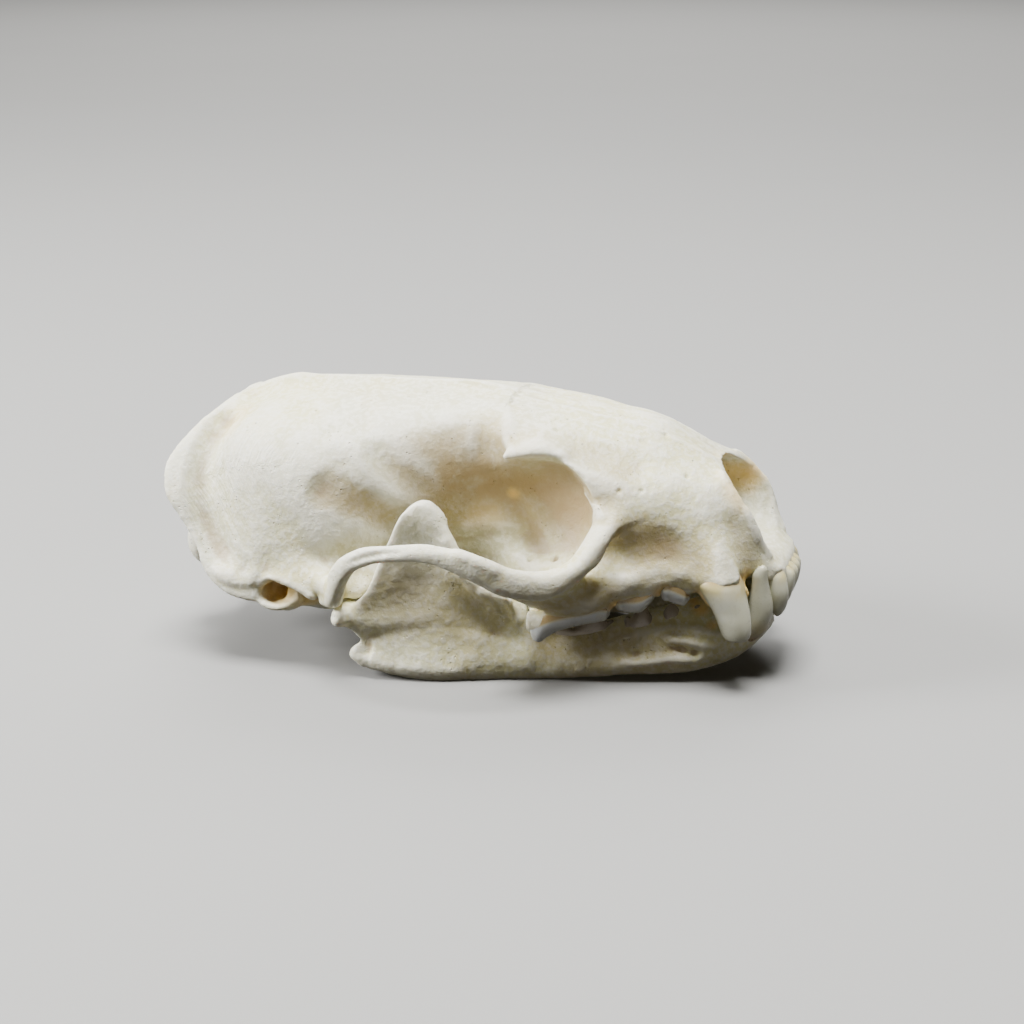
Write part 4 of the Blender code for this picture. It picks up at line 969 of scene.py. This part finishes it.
# Standing teeth on the right: (gum z, heading), then keys as
# (x, distance from the middle, z, half length, half width).
UPPER_CANINE = (12.6, 6), [
    (65.0, 8.3, 15.4, 1.2, 1.1), (65.5, 8.8, 13.9, 1.9, 1.7), (65.5, 9.25, 12.6, 2.62, 2.1),
    (65.9, 9.4, 11.7, 2.5, 2.04), (66.4, 9.5, 10.7, 2.3, 1.88), (66.9, 9.6, 9.6, 2.08, 1.7),
    (67.25, 9.7, 8.55, 1.92, 1.58), (67.5, 9.75, 7.5, 1.74, 1.42), (67.6, 9.78, 6.85, 1.55, 1.26),
    (67.65, 9.8, 6.45, 1.28, 1.05), (67.68, 9.8, 6.2, 0.85, 0.7), (67.7, 9.8, 6.1, 0.2, 0.2)]
LOWER_CANINE = (5.8, 0), [
    (67.6, 5.0, 4.6, 1.4, 1.2), (68.9, 5.4, 6.2, 1.5, 1.3), (69.3, 5.65, 7.3, 1.45, 1.25),
    (69.6, 5.8, 8.6, 1.42, 1.2), (69.62, 5.95, 9.8, 1.3, 1.1), (69.57, 6.1, 11.05, 1.08, 0.95),
    (69.5, 6.25, 12.2, 0.92, 0.82), (69.48, 6.35, 12.9, 0.84, 0.74), (69.6, 6.42, 13.5, 0.66, 0.6),
    (69.74, 6.48, 13.95, 0.36, 0.34), (69.8, 6.5, 14.1, 0.08, 0.08)]
UPPER_INCISORS = [
    ((12.9, 0), [(70.6, 0.8, 13.3, 0.4, 0.4), (71.3, 0.85, 12.9, 0.6, 0.6),
        (72.1, 0.86, 12.2, 0.74, 0.72), (72.2, 0.86, 11.0, 0.76, 0.74), (72.05, 0.85, 9.8, 0.62, 0.68),
        (71.85, 0.84, 9.0, 0.4, 0.55), (71.75, 0.84, 8.6, 0.1, 0.2)]),
    ((12.9, -20), [(70.3, 2.2, 13.4, 0.4, 0.4), (71.0, 2.3, 13.0, 0.62, 0.62),
        (71.9, 2.4, 12.2, 0.8, 0.78), (72.0, 2.45, 10.9, 0.84, 0.8), (71.85, 2.4, 9.6, 0.7, 0.74),
        (71.7, 2.38, 8.7, 0.45, 0.6), (71.6, 2.36, 8.3, 0.1, 0.2)]),
    ((13.0, -42), [(69.7, 3.5, 14.0, 0.6, 0.5), (70.3, 4.0, 13.4, 0.95, 0.85),
        (70.8, 4.4, 12.6, 1.25, 1.12), (71.1, 4.55, 11.5, 1.32, 1.16), (71.3, 4.6, 10.4, 1.28, 1.12),
        (71.4, 4.55, 9.3, 1.08, 0.98), (71.35, 4.45, 8.3, 0.76, 0.72), (71.3, 4.3, 7.6, 0.3, 0.3),
        (71.3, 4.3, 7.45, 0.08, 0.08)]),
]
LOWER_INCISORS = [
    ((8.6, 0), [(69.4, 0.6, 7.4, 0.5, 0.45), (69.8, 0.66, 8.8, 0.6, 0.5), (70.2, 0.7, 10.0, 0.6, 0.56),
        (70.4, 0.7, 10.8, 0.3, 0.5), (70.4, 0.7, 11.0, 0.08, 0.2)]),
    ((8.6, -15), [(69.2, 1.7, 7.4, 0.5, 0.5), (69.6, 1.8, 8.8, 0.64, 0.55),
        (70.0, 1.85, 10.0, 0.66, 0.6), (70.2, 1.85, 10.9, 0.35, 0.5), (70.2, 1.85, 11.1, 0.08, 0.2)]),
    ((8.6, -30), [(68.8, 2.8, 7.4, 0.6, 0.5), (69.3, 2.95, 8.8, 0.7, 0.6),
        (69.7, 3.05, 10.1, 0.76, 0.66), (69.9, 3.05, 11.0, 0.4, 0.55), (69.9, 3.05, 11.3, 0.08, 0.2)]),
]
# Blades on the right: (x, distance from the middle, gum z, edge z, half thickness).
UPPER_BLADES = {
    "p4": [(45.25, 13.9, 7.2, 6.7, 0.1), (45.4, 13.9, 7.2, 6.0, 0.55), (45.9, 14.0, 7.35, 5.35, 0.8),
        (46.4, 14.0, 7.5, 5.35, 0.9), (47.1, 13.95, 7.85, 5.95, 0.95), (48.2, 13.85, 8.35, 6.7, 0.95),
        (49.8, 13.55, 8.85, 7.3, 1.0), (51.4, 13.1, 9.2, 7.7, 1.0), (52.8, 12.6, 9.5, 7.95, 0.95),
        (53.5, 12.35, 9.4, 8.2, 0.7), (53.85, 12.2, 9.4, 8.7, 0.15)],
    "p3": [(54.3, 12.05, 10.2, 9.9, 0.1), (54.5, 12.0, 10.2, 9.5, 0.55), (55.3, 11.85, 10.35, 9.1, 0.75),
        (56.4, 11.6, 10.4, 9.0, 0.8), (57.3, 11.35, 10.6, 9.15, 0.75), (58.0, 11.2, 11.0, 9.95, 0.65),
        (58.5, 11.05, 11.3, 10.7, 0.45), (58.7, 11.0, 11.4, 11.2, 0.1)],
    "p2": [(59.1, 10.75, 11.9, 11.4, 0.1), (59.3, 10.7, 11.85, 10.8, 0.5),
        (60.1, 10.5, 11.8, 10.35, 0.65), (61.1, 10.25, 11.4, 9.95, 0.65), (61.9, 10.0, 11.0, 9.95, 0.5),
        (62.3, 9.9, 10.9, 10.5, 0.1)],
}
LOWER_BLADES = {
    "p2": [(61.6, 7.3, 7.0, 7.2, 0.1), (61.9, 7.2, 7.1, 8.0, 0.5), (62.8, 6.95, 7.2, 8.9, 0.65),
        (63.7, 6.65, 7.3, 8.2, 0.5), (64.0, 6.6, 7.3, 7.5, 0.1)],
    "p3": [(58.6, 8.1, 6.7, 6.9, 0.1), (58.9, 8.0, 6.7, 7.7, 0.55), (59.9, 7.7, 6.8, 9.0, 0.7),
        (60.9, 7.4, 6.9, 8.0, 0.55), (61.3, 7.3, 7.0, 7.2, 0.1)],
    "p4": [(54.6, 9.3, 6.0, 6.2, 0.1), (54.9, 9.2, 6.0, 7.2, 0.6), (55.6, 9.05, 6.1, 7.4, 0.75),
        (56.7, 8.75, 6.3, 9.0, 0.85), (57.8, 8.4, 6.5, 7.6, 0.65), (58.3, 8.25, 6.6, 6.8, 0.1)],
}
# Broad teeth on the right: (x, distance from the middle, gum z, half length, half width, heading, belt,
# down -1 or up 1), cusps, and depth of the root.
UPPER_MOLARS = [
    ((51.7, 11.5, 9.4, 1.3, 1.1, 0, 0.5, -1), [(0.1, -0.2, 0.9, 1.6)], 2.0),
    ((47.4, 10.4, 8.6, 1.5, 2.2, 0, 0.6, -1),
        [(0.3, 0.65, 1.0, 1.4), (-0.5, 0.6, 0.8, 1.2), (0.1, -0.5, 0.8, 1.6)], 2.0),
]
LOWER_MOLARS = [
    ((50.6, 9.7, 4.9, 3.9, 1.15, 14, 0.9, 1),
        [(0.25, 0.3, 2.2, 2.4), (0.75, 0.2, 1.3, 1.8), (-0.05, -0.5, 1.4, 1.6),
            (-0.7, 0.3, 0.6, 1.4)], 2.0),
    ((44.7, 10.9, 5.7, 1.0, 0.8, 14, 0.5, 1), [(0.2, 0.3, 0.3, 1.2)], 1.0),
]


def build_teeth(name, standing, blades, molars, sides):
    """One set of teeth as one object: standing teeth, blades and broad teeth on each of the sides."""
    made = []
    for side in sides:
        made += [tooth(keys, side, gum, heading) for (gum, heading), keys in standing]
        made += [blade(keys, side) for keys in blades.values()]
        made += [molar(spec, side, cusps, root) for spec, cusps, root in molars]
    return join(made, name)


def join(objects, name):
    """Several meshes as one object."""
    bm = bmesh.new()
    for obj in objects:
        bm.from_mesh(obj.data)
    mesh = bpy.data.meshes.new(name)
    bm.to_mesh(mesh)
    bm.free()
    for obj in objects:
        bpy.data.objects.remove(obj)
    joined = bpy.data.objects.new(name, mesh)
    bpy.context.scene.collection.objects.link(joined)
    return joined


class Shade:
    """A material under construction: adds nodes and links them."""

    def __init__(self, tree):
        self.tree = tree

    def node(self, kind, **values):
        """A node of a kind, with its properties or input defaults set by name."""
        made = self.tree.nodes.new(kind)
        for key, value in values.items():
            if key in made.inputs:
                self.put(value, made.inputs[key])
            else:
                setattr(made, key, value)
        return made

    def put(self, value, socket):
        """Link an output, or set a plain value, on an input socket."""
        if isinstance(value, bpy.types.NodeSocket):
            self.tree.links.new(value, socket)
        else:
            socket.default_value = value

    def mix(self, share, first, second):
        """Colour mix of two colours by a share."""
        made = self.node("ShaderNodeMix", data_type="RGBA")
        for number, value in ((0, share), (6, first), (7, second)):
            self.put(value, made.inputs[number])
        return made.outputs[2]

    def math(self, operation, first, second):
        """One arithmetic step."""
        made = self.node("ShaderNodeMath", operation=operation)
        self.put(first, made.inputs[0])
        self.put(second, made.inputs[1])
        return made.outputs[0]

    def times(self, first, second):
        """The product of two values."""
        return self.math("MULTIPLY", first, second)

    def swing(self, value, size):
        """A value round 0.5 as one round 0, scaled by a size."""
        return self.times(self.math("SUBTRACT", value, 0.5), size)

    def band(self, value, low, high, bottom=0.0, top=1.0):
        """Value from low to high carried to bottom to top, with a smooth ease at both ends."""
        made = self.node("ShaderNodeMapRange", interpolation_type="SMOOTHSTEP")
        for socket, number in zip(list(made.inputs)[1:5], (low, high, bottom, top)):
            socket.default_value = number
        self.put(value, made.inputs[0])
        return made.outputs[0]

    def noise(self, vector, scale, detail=3.0, rough=0.55):
        """Fractal noise at a scale in cells for each metre."""
        made = self.node("ShaderNodeTexNoise", Vector=vector, Scale=scale, Detail=detail, Roughness=rough)
        return made.outputs["Fac"]


def bone_grain():
    """Node group for all the bone: mottle, pores and fibres, as masks and a height."""
    tree = bpy.data.node_groups.new("bone_grain", "ShaderNodeTree")
    tree.interface.new_socket("Place", in_out="INPUT", socket_type="NodeSocketVector")
    tree.interface.new_socket("Fibre place", in_out="INPUT", socket_type="NodeSocketVector")
    tree.interface.new_socket("Fibre share", in_out="INPUT", socket_type="NodeSocketFloat")
    for word in ("Mottle", "Speckle", "Pores", "Height"):
        tree.interface.new_socket(word, in_out="OUTPUT", socket_type="NodeSocketFloat")
    s = Shade(tree)
    given = s.node("NodeGroupInput")
    out = s.node("NodeGroupOutput")
    place = given.outputs["Place"]
    mottle = s.noise(place, 120.0, 4.0, 0.6)
    speckle = s.noise(place, 1500.0, 3.0, 0.6)
    cells = s.node("ShaderNodeTexVoronoi", Vector=place, Scale=1900.0, Randomness=1.0)
    dots = s.band(cells.outputs["Distance"], 0.10, 0.24, 1.0, 0.0)
    few = s.band(s.noise(place, 420.0, 2.0), 0.56, 0.70)
    pores = s.times(dots, few)
    stretch = s.node("ShaderNodeMapping", Vector=given.outputs["Fibre place"])
    stretch.inputs["Scale"].default_value = (3200.0, 260.0, 1.0)
    lines = s.noise(stretch.outputs["Vector"], 1.0, 3.0, 0.6)
    lines = s.swing(lines, given.outputs["Fibre share"])
    fine = s.swing(speckle, 0.55)
    broad = s.swing(s.noise(place, 520.0, 3.0), 0.45)
    height = s.math("ADD", s.math("ADD", fine, broad), s.times(lines, 1.5))
    height = s.math("SUBTRACT", height, s.times(pores, 1.1))
    for socket, value in zip(out.inputs, (mottle, speckle, pores, height)):
        tree.links.new(value, socket)
    return tree


GRAIN = bone_grain()
CREAM = (0.68, 0.65, 0.37, 1)
COOL = (0.63, 0.617, 0.45, 1)
WARM = (0.62, 0.56, 0.29, 1)
# These three also serve as painted shade: tan and amber in hollows, the dark brown in hollows and pores;
# amber also as a painted glow inside the nose.
TAN = (0.37, 0.265, 0.115, 1)
AMBER = (0.88, 0.60, 0.17, 1)
SHADE_BROWN = (0.37, 0.267, 0.145, 1)
# Chalk white: the bone's speckle, and painted highlight on ridges.
CHALK_AND_HIGHLIGHT = (0.84, 0.825, 0.72, 1)
NECK = (0.56, 0.49, 0.24, 1)
CROWN = (0.64, 0.64, 0.49, 1)
BLUISH = (0.71, 0.74, 0.75, 1)
CLOUD = (0.66, 0.66, 0.56, 1)
TIP = (0.62, 0.56, 0.40, 1)
# Root brown, darker as painted shade at the gum of the cheek teeth.
ROOT = (0.40, 0.29, 0.13, 1)
# Darkening of the lower teeth: stain and painted shade of the gap under the upper row.
STAIN_AND_SHADE_BROWN = (0.28, 0.195, 0.10, 1)
FLOOR_GREY = (0.27, 0.27, 0.265, 1)


def new_material(name):
    """A new material, a Shade over its nodes, its shader node, and its Object coordinates."""
    mat = bpy.data.materials.new(name)
    mat.use_nodes = True
    s = Shade(mat.node_tree)
    return mat, s, mat.node_tree.nodes["Principled BSDF"], s.node("ShaderNodeTexCoord").outputs["Object"]


def let_light_in(shader, weight, radius, scale):
    """Scatter light below the surface: its weight, its reach in red, green and blue, and their unit."""
    for word, value in (("Weight", weight), ("Radius", radius), ("Scale", scale)):
        shader.inputs["Subsurface " + word].default_value = value


def bone_material(name):
    """Dry bone: cream with cool and warm drifts, pored and finely grained, tinted by the painted masks with
    stains and painted shade, with painted shade in hollows and pores and painted highlight on ridges.
    """
    mat, s, shader, place = new_material(name)
    tone = s.node("ShaderNodeAttribute", attribute_name="Tone")
    split = s.node("ShaderNodeSeparateColor", Color=tone.outputs["Color"])
    fibre = s.node("ShaderNodeAttribute", attribute_name="Fibre")
    grain = s.node("ShaderNodeGroup", node_tree=GRAIN)
    s.put(place, grain.inputs["Place"])
    s.put(fibre.outputs["Vector"], grain.inputs["Fibre place"])
    s.put(tone.outputs["Alpha"], grain.inputs["Fibre share"])
    drift = s.noise(place, 38.0, 2.0)
    colour = s.mix(s.band(drift, 0.42, 0.58), COOL, CREAM)
    colour = s.mix(s.times(s.band(grain.outputs["Mottle"], 0.48, 0.66), 0.6), colour, WARM)
    colour = s.mix(s.times(s.band(grain.outputs["Speckle"], 0.42, 0.62), 0.6), colour, CHALK_AND_HIGHLIGHT)
    blotch = s.band(s.noise(place, 300.0, 4.0, 0.65), 0.25, 0.6, 0.65, 1.0)
    # Tan mask: painted shade in hollows and dents, with some of the bone's own tan.
    colour = s.mix(s.times(split.outputs[0], blotch), colour, TAN)
    # Painted shade: darker brown in hollows.
    colour = s.mix(s.band(split.outputs[2], 0.58, 0.88, 0.0, 0.65), colour, SHADE_BROWN)
    # Painted highlight: paler on ridges.
    colour = s.mix(s.band(split.outputs[2], 0.46, 0.24, 0.0, 0.55), colour, CHALK_AND_HIGHLIGHT)
    # Amber mask: stains of dried gum and on the crest, and painted shade in the ear, nose, foramina and
    # under the bulla.
    colour = s.mix(split.outputs[1], colour, AMBER)
    # Painted shade: darker pores.
    colour = s.mix(s.times(grain.outputs["Pores"], 0.35), colour, SHADE_BROWN)
    s.put(colour, shader.inputs["Base Color"])
    s.put(s.band(grain.outputs["Mottle"], 0.3, 0.7, 0.46, 0.62), shader.inputs["Roughness"])
    bump = s.node("ShaderNodeBump", Height=grain.outputs["Height"], Strength=1.0, Distance=0.00019)
    s.put(bump.outputs["Normal"], shader.inputs["Normal"])
    let_light_in(shader, 0.12, (1.0, 0.75, 0.45), 0.0009)
    return mat


def enamel_material(name):
    """Tooth enamel: brown root, darker as painted shade, yellowed neck, bluish cheek crowns, soft clouds, a
    dulled tip, and lower teeth darkened by stain and painted shade.
    """
    mat, s, shader, place = new_material(name)
    crown = s.node("ShaderNodeAttribute", attribute_name="Crown").outputs["Color"]
    height, cheek, stain_and_shade = s.node("ShaderNodeSeparateColor", Color=crown).outputs
    cloud = s.noise(place, 420.0, 3.0)
    fine = s.noise(place, 2600.0, 2.0)
    colour = s.mix(s.band(height, 0.02, 0.30), NECK, CROWN)
    colour = s.mix(s.times(cheek, s.band(height, -0.1, 0.15)), colour, BLUISH)
    colour = s.mix(s.times(s.band(cloud, 0.45, 0.65), 0.5), colour, CLOUD)
    colour = s.mix(s.band(height, 0.9, 1.0, 0.0, 0.35), colour, TIP)
    # Root brown below the gum, darker as painted shade.
    colour = s.mix(s.band(height, 0.02, -0.12), colour, ROOT)
    # Lower teeth darkened: stain and painted shade.
    colour = s.mix(stain_and_shade, colour, STAIN_AND_SHADE_BROWN)
    s.put(colour, shader.inputs["Base Color"])
    s.put(s.band(fine, 0.3, 0.7, 0.26, 0.38), shader.inputs["Roughness"])
    bump = s.node("ShaderNodeBump", Height=s.math("ADD", cloud, s.times(fine, 0.3)),
                  Strength=0.35, Distance=0.00008)
    s.put(bump.outputs["Normal"], shader.inputs["Normal"])
    let_light_in(shader, 0.15, (1.0, 0.8, 0.6), 0.0006)
    return mat


def dress(obj, material):
    """Give a piece its material and slot, smooth shading, and the body it rides on."""
    obj.data.materials.clear()
    obj.data.materials.append(material)
    obj.data.shade_smooth()
    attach(obj, "root")


cranium = build_cranium()
jaws = {word: build_jaw(side) for side, word in ((-1, "right"), (1, "left"))}
teeth = [build_teeth("upper_teeth", [UPPER_CANINE] + UPPER_INCISORS, UPPER_BLADES, UPPER_MOLARS, (-1, 1))]
for side, word in ((-1, "right"), (1, "left")):
    teeth.append(build_teeth("lower_teeth_" + word, [LOWER_CANINE] + LOWER_INCISORS, LOWER_BLADES,
                             LOWER_MOLARS, (side,)))

BONE = bone_material("dry_bone")
ENAMEL = enamel_material("tooth_enamel")
tint(cranium, TAN_AND_SHADE_ZONES, AMBER_STAIN_AND_SHADE_ZONES, FIBRE_ZONES)
dress(cranium, BONE)
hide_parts("braincase", "rostrum", "zygomatic_arch_right", "zygomatic_arch_left",
            "auditory_bulla_right", "auditory_bulla_left")
for word, jaw in jaws.items():
    jaw.name = "jaw_bone_" + word
    tint(jaw, JAW_SHADE_ZONES, JAW_AMBER, [])
    dress(jaw, BONE)
    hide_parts("mandible_" + word)
for row in teeth:
    dress(row, ENAMEL)


def plain_material(name, colour, roughness):
    """A matt painted surface with a very faint cloudiness."""
    mat, s, shader, place = new_material(name)
    faint = tuple(0.96 * c for c in colour[:3]) + (1,)
    s.put(s.mix(s.noise(place, 12.0), colour, faint), shader.inputs["Base Color"])
    shader.inputs["Roughness"].default_value = roughness
    return mat


bpy.ops.mesh.primitive_plane_add(size=3.0)
floor = bpy.context.object
floor.name = "floor"
floor.data.materials.append(plain_material("pale_floor", FLOOR_GREY, 0.8))
floor.visible_diffuse = False


# The middle of the skull, in metres, which the lights stand round.
LIT_PLACE = (0, 0, 0.015)


def soft_light(name, azimuth, elevation, distance, size, power, colour, facing=None):
    """A square area light at an azimuth and elevation from the skull, facing it or along facing."""
    lamp = bpy.data.lights.new(name, "AREA")
    lamp.size = size
    lamp.energy = power
    lamp.color = colour
    obj = bpy.data.objects.new(name, lamp)
    bpy.context.scene.collection.objects.link(obj)
    toward = aim(azimuth, elevation)
    obj.location = np.array(LIT_PLACE) + distance * toward
    obj.rotation_mode = "QUATERNION"
    obj.rotation_quaternion = Vector(-toward if facing is None else facing).to_track_quat("-Z", "Y")


soft_light("key", 6, 82, 0.55, 0.24, 9.1, (1.0, 0.99, 0.965))
soft_light("left", -71, 27, 0.60, 0.22, 8.7, (1.0, 0.99, 0.97))
soft_light("fill", 10, 5, 0.7, 0.40, 0.27, (1.0, 0.955, 0.89))
soft_light("rim", 190, 60, 0.6, 0.35, 1.2, (0.97, 0.985, 1.0))
soft_light("backdrop", 196, 38, 1.35, 0.9, 22.0, (1.0, 0.99, 0.97), (0.0, 0.0, -1.0))
world = bpy.data.worlds.new("studio")
bpy.context.scene.world = world
world.use_nodes = True
world.node_tree.nodes["Background"].inputs["Color"].default_value = (1.0, 0.89, 0.73, 1)
world.node_tree.nodes["Background"].inputs["Strength"].default_value = 0.045
